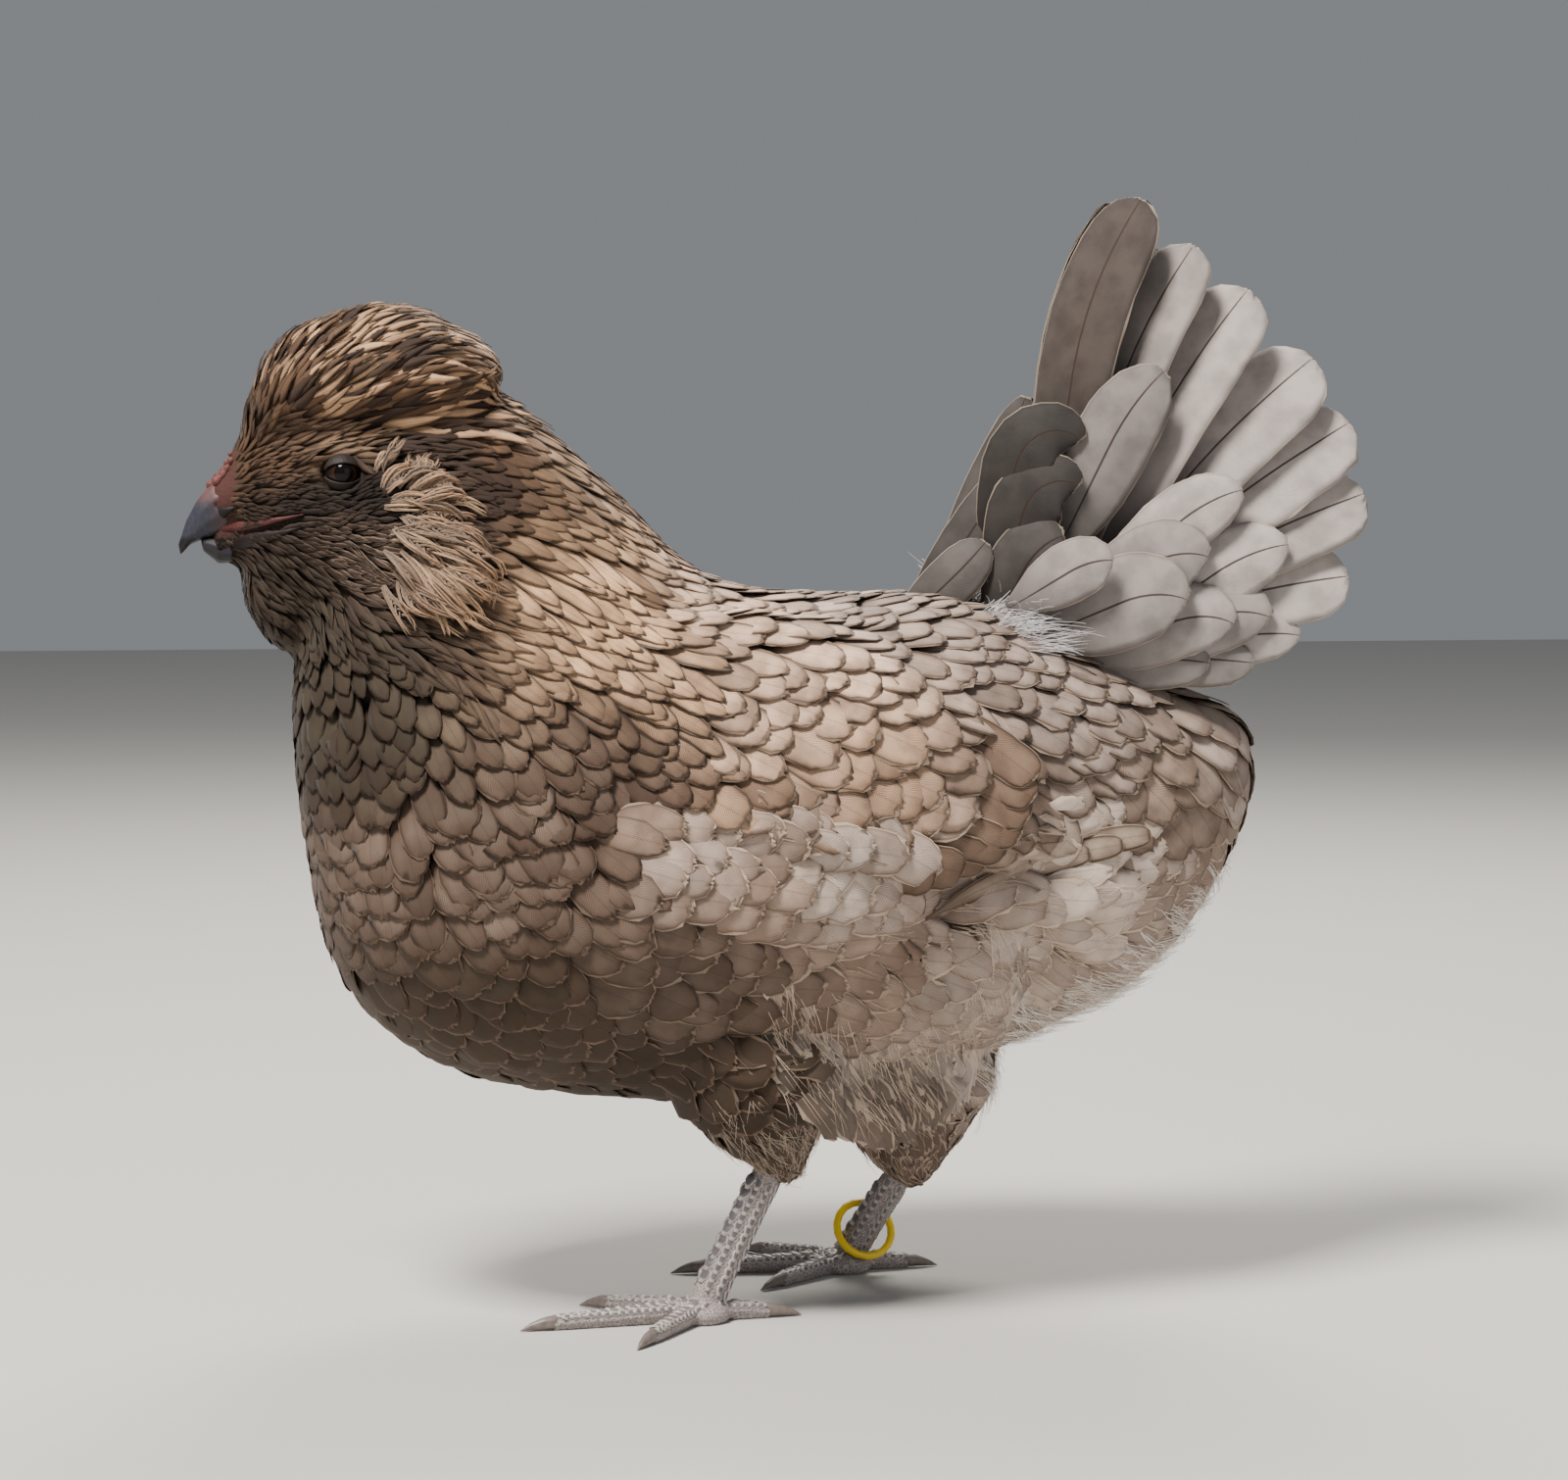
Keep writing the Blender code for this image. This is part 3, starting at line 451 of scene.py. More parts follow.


# Painted light and shade: peach and pearl are lighter, and olive and moss darker, than the plumage itself.
COLOURS = {
    "umber": tint(64, 48, 38),
    "brown": tint(122, 92, 68),
    "tan": tint(232, 186, 144),
    "peach": tint(230, 194, 168),
    "clay": tint(186, 152, 126),
    "taupe": tint(158, 136, 121),
    "ash": tint(108, 93, 83),
    "olive": tint(40, 38, 29),
    "moss": tint(58, 53, 42),
    "mist": tint(184, 165, 154),
    "pearl": tint(222, 206, 194),
    "lilac": tint(178, 162, 152),
    "dusk": tint(44, 32, 26),
    "shade": tint(98, 78, 66),
    "bark": tint(100, 80, 65),
    "fawn": tint(198, 160, 126),
    "ink": tint(20, 15, 13),
}
print("colours:", len(COLOURS))

# %% [markdown]
# Plumage changes all over a bird, but smoothly. A short list of named places says what the feathers are like
# there: which way they lie (in degrees from straight back, upwards, as seen from the side), how long, how
# wide and how far apart they are, how deep the coat is, and their colours. The colours carry painted light
# and shade too: lighter on the neck, back, shoulder and flank rim where the light falls, darker beneath on
# the throat, lower breast and belly. Any other place gets a mixture, weighted by its distance to these.

# %% Places and their plumage
Place = namedtuple("Place", "y z lies long wide apart deep tone edge lacing pale soft")
PLACES = {
    "forehead": Place(-174, 294, 62, 9, 3.6, 2.4, 2.0, "brown", "dusk", 0.6, 0.0, 0.2),
    "brow": Place(-154, 285, 14, 12, 4.2, 2.8, 2.4, "fawn", "dusk", 0.9, 0.0, 0.1),
    "lore": Place(-166, 276, 8, 5, 2.4, 1.7, 1.2, "brown", "dusk", 0.6, 0.0, 0.1),
    "lore_low": Place(-163, 266, -2, 6, 2.6, 1.7, 1.2, "ink", "ink", 0.3, 0.0, 0.1),
    "under_eye": Place(-146, 266, -4, 6, 2.8, 1.8, 1.3, "ink", "ink", 0.3, 0.0, 0.1),
    "before_ear": Place(-137, 267, -4, 6, 2.8, 1.8, 1.3, "ink", "ink", 0.3, 0.0, 0.1),
    "below_eye": Place(-154, 262, -4, 6, 2.8, 1.8, 1.3, "ink", "ink", 0.3, 0.0, 0.1),
    "cheek": Place(-140, 248, -8, 8, 3.2, 2.1, 1.8, "shade", "dusk", 0.7, 0.2, 0.2),
    "face": Place(-152, 258, -4, 6, 3.0, 1.9, 1.4, "umber", "dusk", 0.4, 0.1, 0.1),
    "ear": Place(-122, 268, -8, 12, 4.0, 2.8, 2.6, "umber", "dusk", 0.4, 0.1, 0.5),
    "band_front": Place(-130, 284, -6, 13, 4.2, 2.8, 2.4, "dusk", "dusk", 0.4, 0.0, 0.1),
    "band": Place(-110, 276, -26, 16, 5.0, 3.2, 3.0, "dusk", "dusk", 0.4, 0.0, 0.2),
    "behind_ear": Place(-104, 290, -22, 16, 5.5, 3.6, 3.4, "brown", "dusk", 0.7, 0.0, 0.3),
    "chin": Place(-164, 240, -30, 9, 3.8, 2.6, 2.4, "moss", "dusk", 0.4, 0.0, 0.5),
    "under_beard": Place(-148, 226, -34, 13, 5.6, 3.6, 3.6, "moss", "dusk", 0.4, 0.0, 0.6),
    "nape": Place(-80, 290, -40, 30, 5.8, 3.8, 4.6, "fawn", "dusk", 1.0, 0.1, 0.2),
    "neck": Place(-86, 245, -40, 34, 6.6, 4.2, 5.0, "tan", "umber", 1.0, 0.1, 0.3),
    "neck_low": Place(-58, 215, -42, 34, 7.8, 4.9, 5.2, "fawn", "dusk", 1.0, 0.1, 0.3),
    "yoke": Place(-70, 200, -46, 26, 10.0, 5.8, 5.0, "bark", "dusk", 1.0, 0.0, 0.2),
    "yoke_low": Place(-66, 180, -44, 26, 11.0, 6.2, 5.0, "shade", "dusk", 0.9, 0.0, 0.2),
    "throat": Place(-146, 200, -72, 21, 10.5, 5.8, 4.8, "moss", "dusk", 0.9, 0.0, 0.2),
    "breast": Place(-144, 165, -78, 23, 13.5, 7.0, 5.0, "ash", "umber", 1.0, 0.1, 0.0),
    "breast_side": Place(-106, 165, -56, 24, 14.0, 7.2, 5.0, "ash", "umber", 1.0, 0.1, 0.0),
    "crop_side": Place(-76, 190, -50, 24, 11.0, 6.2, 5.0, "ash", "umber", 1.0, 0.1, 0.1),
    "breast_low": Place(-116, 115, -42, 26, 15.5, 8.0, 5.4, "moss", "umber", 1.0, 0.1, 0.0),
    "keel": Place(-70, 84, -12, 27, 16.0, 8.4, 5.6, "olive", "umber", 0.9, 0.1, 0.1),
    "belly": Place(-20, 78, -6, 28, 16.0, 8.6, 6.0, "olive", "umber", 0.8, 0.1, 0.3),
    "side_low": Place(-60, 120, -20, 30, 17.0, 8.6, 5.8, "ash", "umber", 0.9, 0.2, 0.1),
    "back_front": Place(-40, 240, -24, 23, 10.0, 6.0, 5.0, "peach", "umber", 0.9, 0.1, 0.1),
    "back": Place(5, 240, -8, 24, 11.0, 6.4, 5.0, "mist", "umber", 0.9, 0.2, 0.0),
    "saddle": Place(50, 230, -22, 26, 13.0, 7.4, 5.2, "mist", "umber", 0.9, 0.3, 0.0),
    "saddle_side": Place(77, 205, -36, 30, 16.0, 8.8, 5.4, "mist", "umber", 1.0, 0.3, 0.0),
    "hip": Place(105, 182, -46, 32, 19.0, 10.0, 5.6, "taupe", "umber", 0.8, 0.2, 0.0),
    "rump": Place(142, 190, -56, 32, 20.0, 10.5, 5.4, "lilac", "shade", 0.8, 0.3, 0.0),
    "rump_low": Place(138, 158, -40, 28, 14.0, 8.6, 6.0, "taupe", "shade", 0.6, 0.4, 0.5),
    "shoulder": Place(-40, 208, -34, 26, 14.0, 8.0, 5.2, "peach", "umber", 0.8, 0.1, 0.0),
    "wing": Place(-5, 195, -34, 27, 17.0, 9.0, 5.0, "clay", "umber", 0.9, 0.2, 0.0),
    "wing_top": Place(-8, 214, -30, 26, 14.0, 8.0, 5.0, "peach", "umber", 0.9, 0.1, 0.0),
    "wing_rear": Place(48, 180, -34, 26, 15.0, 8.4, 5.0, "taupe", "umber", 1.0, 0.2, 0.0),
    "wing_low": Place(0, 172, -26, 27, 16.0, 8.8, 5.0, "clay", "umber", 0.8, 0.3, 0.0),
    "wing_front": Place(-44, 180, -36, 24, 13.5, 7.6, 5.0, "clay", "umber", 0.9, 0.1, 0.0),
    "flank_top": Place(-34, 158, 10, 26, 15.0, 7.6, 6.0, "mist", "shade", 0.7, 0.5, 0.2),
    "flank_rim": Place(4, 153, 8, 28, 15.0, 7.6, 6.0, "pearl", "shade", 0.7, 0.5, 0.2),
    "flank": Place(-20, 142, -6, 34, 17.0, 8.8, 6.4, "taupe", "shade", 0.8, 0.4, 0.2),
    "flank_end": Place(22, 142, 4, 30, 16.0, 8.0, 6.4, "mist", "shade", 0.7, 0.5, 0.5),
    "flank_low": Place(5, 114, -18, 32, 16.0, 8.6, 6.4, "taupe", "shade", 0.7, 0.4, 0.5),
    "rear_top": Place(80, 148, 2, 30, 12.0, 7.4, 6.0, "pearl", "taupe", 0.4, 0.5, 0.8),
    "rear_side": Place(108, 138, -8, 30, 16.0, 8.6, 6.4, "mist", "shade", 0.7, 0.6, 0.4),
    "thigh_top": Place(26, 116, -30, 30, 12.0, 7.0, 6.4, "lilac", "shade", 0.5, 0.5, 0.7),
    "thigh_front": Place(20, 100, -36, 30, 11.0, 6.4, 6.4, "lilac", "shade", 0.5, 0.5, 0.8),
    "thigh": Place(45, 104, -34, 30, 11.0, 6.4, 6.6, "lilac", "shade", 0.4, 0.5, 0.9),
    "thigh_rear": Place(58, 82, -44, 28, 10.0, 6.2, 6.2, "lilac", "shade", 0.4, 0.6, 1.0),
    "thigh_low": Place(40, 62, -58, 22, 8.0, 5.0, 4.6, "ash", "shade", 0.3, 0.4, 1.0),
    # The front thigh's tones are darker, as painted shade under the belly.
    "front_thigh": Place(-8, 64, -60, 18, 8.5, 5.2, 4.4, "ash", "umber", 0.4, 0.3, 0.8),
    "vent": Place(100, 98, -22, 30, 11.0, 6.6, 7.0, "mist", "shade", 0.4, 0.5, 1.0),
    "under_tail": Place(130, 130, -20, 28, 11.0, 6.8, 7.0, "mist", "shade", 0.4, 0.5, 1.0),
}
MIX_POWER, MIX_SOFTNESS = 2.4, 6.5


def plumage_table():
    """The places as rows of numbers. A direction is kept as its cosine and sine, so it mixes well."""
    rows = []
    for place in PLACES.values():
        lies = math.radians(place.lies)
        rows.append((math.cos(lies), math.sin(lies), place.long, place.wide, place.apart, place.deep,
                     *COLOURS[place.tone], *COLOURS[place.edge], place.lacing, place.pale, place.soft))
    return np.array(rows)


TABLE = plumage_table()
TABLE_SPOTS = np.array([(place.y, place.z) for place in PLACES.values()])
Coat = namedtuple("Coat", "lie long wide apart deep tone edge lacing pale soft")


def coat_at(points):
    """What the plumage is like at some points, given in metres."""
    spots = np.asarray(points)[:, 1:] / MM
    gaps = ((spots[:, None] - TABLE_SPOTS[None]) ** 2).sum(2) + MIX_SOFTNESS ** 2
    weights = gaps ** -MIX_POWER
    rows = (weights / weights.sum(1, keepdims=True)) @ TABLE
    lie = np.stack([rows[:, 0] * 0, rows[:, 0], rows[:, 1]], 1)
    millimetres = rows[:, 2:6].T * MM
    return Coat(lie, *millimetres, rows[:, 6:9], rows[:, 9:12], *rows[:, 12:15].T)


print("named places:", len(PLACES))

# %% [markdown]
# The skin is what shows in a gap between feathers. It is the form, drawn in by the depth of the coat at each
# point, so that feathers rooted in it end at the right outline. Its colour is a dark mixture of the plumage's
# own, painted shade for the gaps, with a mottle of painted shadow and a fine down-like bump. Below the mouth
# line the bare face is painted near black, as the shadow of the mouth.

# %% The skin
def paint(mesh, name, values):
    """Stores a colour or a vector at each vertex."""
    kind = "FLOAT_COLOR" if values.shape[1] == 4 else "FLOAT_VECTOR"
    layer = mesh.attributes.new(name, kind, "POINT")
    layer.data.foreach_set("color" if values.shape[1] == 4 else "vector", values.astype(np.float32).ravel())


BARE_FROM, BARE_OVER = -170, 8
# The bare face turns near black below the mouth line: painted shadow of the mouth.
FACE_RED, MOUTH_SHADOW_TONE, MOUTH_SHADOW_BELOW, MOUTH_SHADOW_FADE = tint(70, 42, 41), tint(14, 11, 12), 256, 3
# The skin takes a dark share of the coat's tones, as painted shade in the gaps between feathers.
DOWN_SHADOW, SHADED_SKIN_TONE, SHADED_SKIN_EDGE = (0.05, 0.035, 0.028), 0.35, 0.3


def make_skin():
    """The form drawn in by the depth of the coat. The bare face in front of BARE_FROM stays as it is."""
    skin = show("skin", form.data.copy())
    points, normals = points_of(skin.data), points_of(skin.data, "normal")
    coat = coat_at(points)
    feathered = np.clip(1 - (BARE_FROM - points[:, 1] / MM) / BARE_OVER, 0, 1)
    move_points(skin.data, points - normals * (coat.deep * feathered)[:, None])
    relax(skin.data, 3)
    bare = ((1 - feathered) ** 2)[:, None]
    # Painted shadow of the mouth below its line.
    low = np.clip((MOUTH_SHADOW_BELOW - points[:, 2:] / MM) / MOUTH_SHADOW_FADE, 0, 1)
    flesh = np.array(FACE_RED) * (1 - low) + np.array(MOUTH_SHADOW_TONE) * low
    # The feathered skin is a darkened mix of the coat's tones: painted shade in the gaps.
    tone = (coat.tone * SHADED_SKIN_TONE + coat.edge * SHADED_SKIN_EDGE) * (1 - bare) + flesh * bare
    paint(skin.data, "tint", np.hstack([tone, np.ones((len(tone), 1))]))
    skin.data.shade_smooth()
    return skin


def skin_material():
    shader = Shader("down_skin", roughness=0.9, Specular_IOR_Level=0.1)
    mottle = shader.noise(900, 3)
    share = shader.ramp(mottle, 0.35, 0.75, 0.05, 0.55)
    colour = shader.mix(share, shader.attribute("tint")["Color"], DOWN_SHADOW)
    shader.put(shader.surface, Base_Color=colour)
    shader.bump(mottle, 0.6, 0.6 * MM)
    return shader.material


skin = make_skin()
skin.data.materials.clear()
skin.data.materials.append(skin_material())
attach(skin, BODY)
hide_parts("head", "neck", "torso", "thigh_left", "thigh_right")
print("skin faces:", len(skin.data.polygons))

# %% [markdown]
# One feather is a thin closed plate. It starts as a flat grid with a thickness, one unit wide to each
# side and one unit long. Each feather of the bird is that grid bent along its own path, so one template
# serves them all.

# %% One flat feather
def stops(count):
    """How far along a feather its stations are, closer together towards the rounded tip."""
    return 1 - (1 - np.linspace(0, 1, count)) ** 1.8


def template(columns, rows):
    """A closed flat plate: across in -1 to 1, along in 0 to 1 and through in -0.5 to 0.5."""
    bm = bmesh.new()
    bmesh.ops.create_grid(bm, x_segments=columns, y_segments=rows, size=1.0)
    bmesh.ops.solidify(bm, geom=bm.faces[:], thickness=1.0)
    bm.verts.ensure_lookup_table()
    points = np.array([v.co for v in bm.verts])
    low, high = points.min(0), points.max(0)
    points = (points - low) / (high - low) * (2, 1, 1) - (1, 0, 0.5)
    bmesh.ops.recalc_face_normals(bm, faces=bm.faces)
    faces = np.array([[v.index for v in f.verts] for f in bm.faces])
    sides = np.array([abs(f.normal.z) < 0.5 for f in bm.faces])
    bm.free()
    return points, faces, sides


print("faces of one body feather:", len(template(5, 8)[1]))

# %% [markdown]
# Every feather needs a spot of its own in a flat picture of the colours, the uv layer OFBake. The body is
# laid out like a map, along its axis from bill to tail and round it. A feather gets a small patch at the
# place of its root.

# %% Flat map of the body
AXIS = np.array([
    (-190, 262), (-150, 268), (-105, 250), (-60, 200), (-20, 160), (60, 150), (150, 180), (190, 230)
]) * MM
MAP_MARGIN, BAKE_PATCH = 0.02, 0.003


def unwrap(points):
    """Where points come in a flat map of the body: along its axis from bill to tail and round it."""
    spots = points[:, 1:]
    starts, steps = AXIS[:-1], AXIS[1:] - AXIS[:-1]
    lengths = np.linalg.norm(steps, axis=1)
    shares = ((spots[:, None] - starts) * steps).sum(2) / lengths ** 2
    feet = starts + np.clip(shares, 0, 1)[..., None] * steps
    best = np.linalg.norm(spots[:, None] - feet, axis=2).argmin(1)
    rows = np.arange(len(points))
    along = (np.cumsum(lengths) - lengths)[best] + np.clip(shares[rows, best], 0, 1) * lengths[best]
    away = spots - feet[rows, best]
    upwards = np.stack([-steps[best, 1], steps[best, 0]], 1) / lengths[best, None]
    around = np.arctan2(points[:, 0], (away * upwards).sum(1)) / math.tau + 0.5
    return MAP_MARGIN + (1 - 2 * MAP_MARGIN) * np.stack([along / lengths.sum(), around], 1)


print("axis of the map:", round(np.linalg.norm(np.diff(AXIS, axis=0), axis=1).sum(), 3), "m")

# %% [markdown]
# A feather's outline is a list of its widths: how far along it is, and what share of its full width it
# has there. Contour feathers are round, those of the neck longer ovals, those of the wing and tail have
# a bare quill and a blunt tip. A group holds the paths of many feathers and what they look like.

# %% Outlines and groups
SHAPES = {
    "round": ((0, 0.2), (0.15, 0.5), (0.35, 0.88), (0.55, 1.0),
              (0.75, 0.97), (0.88, 0.8), (0.95, 0.55), (1, 0.22)),
    "oval": ((0, 0.15), (0.2, 0.55), (0.45, 0.98), (0.62, 1.0), (0.8, 0.84), (0.92, 0.52), (1, 0.12)),
    "lance": ((0, 0.3), (0.2, 0.75), (0.45, 1.0), (0.7, 0.78), (0.9, 0.36), (1, 0.06)),
    "quill": ((0, 0.12), (0.1, 0.2), (0.25, 0.72), (0.45, 0.92), (0.7, 1.0),
              (0.88, 0.96), (0.94, 0.84), (0.97, 0.68), (0.985, 0.5), (0.995, 0.3), (1, 0.1)),
    "hair": ((0, 1.0), (0.5, 0.8), (1, 0.12)),
    "plate": ((0, 0.45), (0.2, 0.9), (0.5, 1.0), (0.8, 0.85), (1, 0.4)),
    "lip": ((0, 0.5), (0.15, 0.9), (0.45, 1.0), (0.8, 0.6), (1, 0.12)),
}
Group = namedtuple("Group", "paths faces wide long thick tone edge lacing pale soft")


def lengths_of(paths):
    return np.linalg.norm(np.diff(paths, axis=1), axis=2).sum(1)


def plain_group(paths, faces, wide, thick, tone, edge, lacing=1.0, pale=1.0, soft=0.0):
    """A group with looks of its own. A single value counts for each of its feathers."""
    paths, faces = np.array(paths), np.array(faces)
    ones = np.ones(len(paths))
    tone, edge = (np.broadcast_to(colour, (len(paths), 3)) for colour in (tone, edge))
    return Group(paths, faces, ones * wide, lengths_of(paths), ones * thick, tone, edge,
                 ones * lacing, ones * pale, ones * soft)


def part_of(rows, chosen):
    """The chosen feathers of a group, or the chosen rows of a coat."""
    return type(rows)(*(values[chosen] for values in rows))


print("outlines:", ", ".join(SHAPES))

# %% [markdown]
# The flat template is bent along each path. The vane is wide as its outline says, arched across its
# shaft and a little frayed at its edge, the more the softer the feather is. Arrays place every vertex
# of every feather at once.

# %% Bend the template
VANE_THINS, TIP_FROM, SOFT_FRAYS, TIP_FRAYS, NEVER_ZERO = 0.55, 0.9, 0.8, 0.5, 1e-12


def feathers(name, group, columns, shape, curl=0.14, ragged=0.05, seed=1):
    """Bends the template along every path of a group and joins the result into one piece."""
    count, stations = group.paths.shape[:2]
    grid, quads, sides = template(columns, stations - 1)
    across, along, through = grid.T
    station = np.rint(along * (stations - 1)).astype(int)
    along = stops(stations)[station]
    grid[:, 1] = along
    draw = np.random.default_rng(seed)
    ahead = np.gradient(group.paths, axis=1)
    ahead /= np.linalg.norm(ahead, axis=2, keepdims=True) + NEVER_ZERO
    sideways = np.cross(ahead, group.faces)
    sideways /= np.linalg.norm(sideways, axis=2, keepdims=True) + NEVER_ZERO
    up = np.cross(sideways, ahead)
    width = np.interp(along, *np.array(SHAPES[shape]).T)[None] * group.wide[:, None] / 2
    frayed = ragged * (1 + SOFT_FRAYS * group.soft[:, None])
    rough = 1 + frayed * draw.standard_normal((count, len(along))) * np.abs(across) * along
    thick = group.thick[:, None] * (1 - VANE_THINS * along * np.abs(across))
    lift = through * thick - curl * width * across ** 2
    points = group.paths[:, station] + sideways[:, station] * (across * width * rough)[..., None]
    points += up[:, station] * lift[..., None]
    notch = draw.standard_normal((count, len(along))) * frayed * TIP_FRAYS
    points += ahead[:, station] * (notch * (along > TIP_FROM) * group.wide[:, None])[..., None]
    return joined(name, group, grid, quads, sides, points)


print("bending ready")

# %% [markdown]
# A copy of the template's faces for each feather joins all feathers into a single mesh. Each vertex
# also learns where it is on its feather, how big that feather is and what colours it has, because the
# material draws barbs and edges from these. The narrow sides of the plates are shaded flat.

# %% Join feathers into a piece
def joined(name, group, grid, quads, sides, points):
    count, each = points.shape[:2]
    mesh = bpy.data.meshes.new(name)
    mesh.vertices.add(count * each)
    mesh.vertices.foreach_set("co", points.astype(np.float32).ravel())
    corners = (quads[None] + (np.arange(count) * each)[:, None, None]).astype(np.int32).ravel()
    mesh.loops.add(len(corners))
    mesh.loops.foreach_set("vertex_index", corners)
    mesh.polygons.add(len(corners) // 4)
    mesh.polygons.foreach_set("loop_start", np.arange(0, len(corners), 4, dtype=np.int32))
    mesh.update(calc_edges=True)
    flat = mesh.attributes.new("sharp_face", "BOOLEAN", "FACE")
    flat.data.foreach_set("value", np.tile(sides, count))
    spread = lambda values: np.repeat(values, each, axis=0)
    pairs = {
        "vane": np.tile(grid[:, :2], (count, 1)),
        "size": np.stack([spread(group.wide), spread(group.long)], 1) / MM,
        "marks": np.stack([spread(group.lacing), spread(group.pale)], 1),
    }
    for label, pair in pairs.items():
        paint(mesh, label, np.hstack([pair, np.zeros((count * each, 1))]))
    for label, colours in (("tint", group.tone), ("rim", group.edge)):
        paint(mesh, label, np.hstack([spread(colours), np.ones((count * each, 1))]))
    places = unwrap(group.paths[:, 0])[:, None] + (grid[None, :, :2] * (0.5, 1) + (0, -0.5)) * BAKE_PATCH
    layer = mesh.uv_layers.new(name="OFBake")
    layer.data.foreach_set("uv", places.reshape(-1, 2)[corners].astype(np.float32).ravel())
    return show(name, mesh)


def dress(piece, material, slot, *nodes):
    """Gives a finished piece its material and its body, and hides the solids that it stands for. The slot is
    not used.
    """
    piece.data.materials.clear()
    piece.data.materials.append(material)
    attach(piece, BODY)
    if nodes:
        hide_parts(*nodes)
    print(piece.name, "faces:", len(piece.data.polygons))
    return piece


print("joining ready")

# %% [markdown]
# A feather has a shaft down its middle and barbs that leave it at a slant. Each vane carries its own
# coordinates, so the material draws these from them: fine slanting lines, a thin dark shaft, a darker rim
# that tells one feather from the next, and a pale outermost edge where the feather is worn. The rim is a
# sharp line of lacing with a soft painted shade inside it, and the vane is painted darker towards its root as
# shade.

# %% Feather material
BARB_SLANT, WORN_TONE, QUILL_TONE = 1.3, tint(214, 192, 170), tint(50, 38, 32)


def feather_material(name, barb=0.9, sheen=0.04, shaft=0.2, contrast=0.5, rim=(2.0, 1.5), root=0.75):
    """Barbs and rims are measured in millimetres. rim says how far it reaches in from tip and sides, root how
    dark the painted shade at the root is.
    """
    shader = Shader(name, roughness=0.65, Specular_IOR_Level=0.12, Sheen_Weight=sheen, Sheen_Roughness=0.5)
    across, along, _ = shader.split("vane")
    wide, long, _ = shader.split("size")
    lacing, pale, _ = shader.split("marks")
    ground, edge = shader.attribute("tint")["Color"], shader.attribute("rim")["Color"]
    half = shader.times(wide, 0.5)
    from_shaft = shader.times(shader.math("ABSOLUTE", across), half)
    from_side = shader.minus(half, from_shaft)
    from_tip = shader.times(shader.minus(1.0, along), long)
    slant = shader.plus(from_tip, shader.times(from_shaft, BARB_SLANT))
    phase = shader.plus(slant, shader.times(shader.noise(240, 2), 3.0))
    barbs = shader.ramp(shader.math("SINE", shader.times(phase, math.tau / barb)), -1, 1)
    tone = shader.mix(shader.times(barbs, contrast), ground, edge)
    tone = shader.mix(shader.ramp(shader.noise(110, 3), 0.3, 0.75, 0.0, 0.5), tone, edge)
    # The vane is painted darker towards its root, as the shade of the feathers over it.
    tone = shader.mix(shader.ramp(along, 0.65, 0.1, 0.0, root), tone, edge)
    # A soft margin inside the tip and sides is painted shade, as falls where feathers overlap; the sharp line
    # at the edge is the lacing.
    tip_shade, side_shade = shader.ramp(from_tip, rim[0] * 3.2, 0.3), shader.ramp(from_side, rim[1] * 2.6, 0.2)
    line = shader.larger(shader.ramp(from_tip, rim[0], 0.3), shader.ramp(from_side, rim[1], 0.3))
    dark = shader.plus(shader.times(shader.larger(tip_shade, side_shade), 0.44), shader.times(line, 0.6))
    tone = shader.mix(shader.times(dark, lacing, clamp=True), tone, edge)
    worn = shader.larger(shader.ramp(from_tip, 0.7, 0.1), shader.ramp(from_side, 0.5, 0.1))
    tone = shader.mix(shader.times(worn, pale, clamp=True), tone, WORN_TONE)
    quill = shader.ramp(from_shaft, 0.22, 0.5, shaft, 0.0)
    shader.put(shader.surface, Base_Color=shader.mix(quill, tone, QUILL_TONE))
    shader.bump(shader.plus(barbs, shader.times(quill, -2.0)), 0.4, 0.12 * MM)
    return shader.material


BODY_FEATHER = feather_material("body_feather")
NECK_FEATHER = feather_material("neck_feather", contrast=0.42, rim=(2.2, 0.8))
print("feather material ready")

# %% [markdown]
# Feathers grow in a regular pattern, each as far from its neighbours as the others of its size. Random
# places are drawn all over the form and one is kept only where no kept one is too near. A grid of
# cells makes that test quick.

# %% Scatter roots
def scatter(keep, closeness=1.0, seed=3, tries=60000):
    """Places spread over the form, spaced as the plumage there asks, where keep() allows them."""
    draw = np.random.default_rng(seed)
    corners = FORM.corners
    area = np.linalg.norm(np.cross(corners[:, 1] - corners[:, 0], corners[:, 2] - corners[:, 0]), axis=1)
    chosen = draw.choice(len(corners), tries, p=area / area.sum())
    a, b = draw.random((2, tries, 1))
    fold = (a + b) > 1
    a, b = np.where(fold, 1 - a, a), np.where(fold, 1 - b, b)
    first, second, third = corners[chosen].transpose(1, 0, 2)
    points = first + (second - first) * a + (third - first) * b
    points = points[keep(points)]
    apart = coat_at(points).apart * closeness
    cell = apart.max()
    cells, kept = {}, []
    keys = np.floor(points / cell).astype(int)
    near = [(i, j, k) for i in (-1, 0, 1) for j in (-1, 0, 1) for k in (-1, 0, 1)]
    for number, (point, key, gap) in enumerate(zip(points, map(tuple, keys), apart)):
        others = [o for i, j, k in near for o in cells.get((key[0] + i, key[1] + j, key[2] + k), ())]
        if others and (((points[others] - point) ** 2).sum(1) < gap * gap).any():
            continue
        cells.setdefault(key, []).append(number)
        kept.append(number)
    return points[kept]


print("scatter ready")

# %% [markdown]
# From its root a feather follows the lie of the coat over the form, step by step: a step along the
# surface, the nearest place there, and a new heading. Its height above the form depends on how far it
# has come, from the skin at the root to the form's surface at the tip. The body's feathers are also
# rolled a little about their own length, so that each one's upper edge goes under its neighbour.

# %% Paths over the form
LENGTHS_VARY, BESIDE_THE_BIRD = 0.08, 0.2


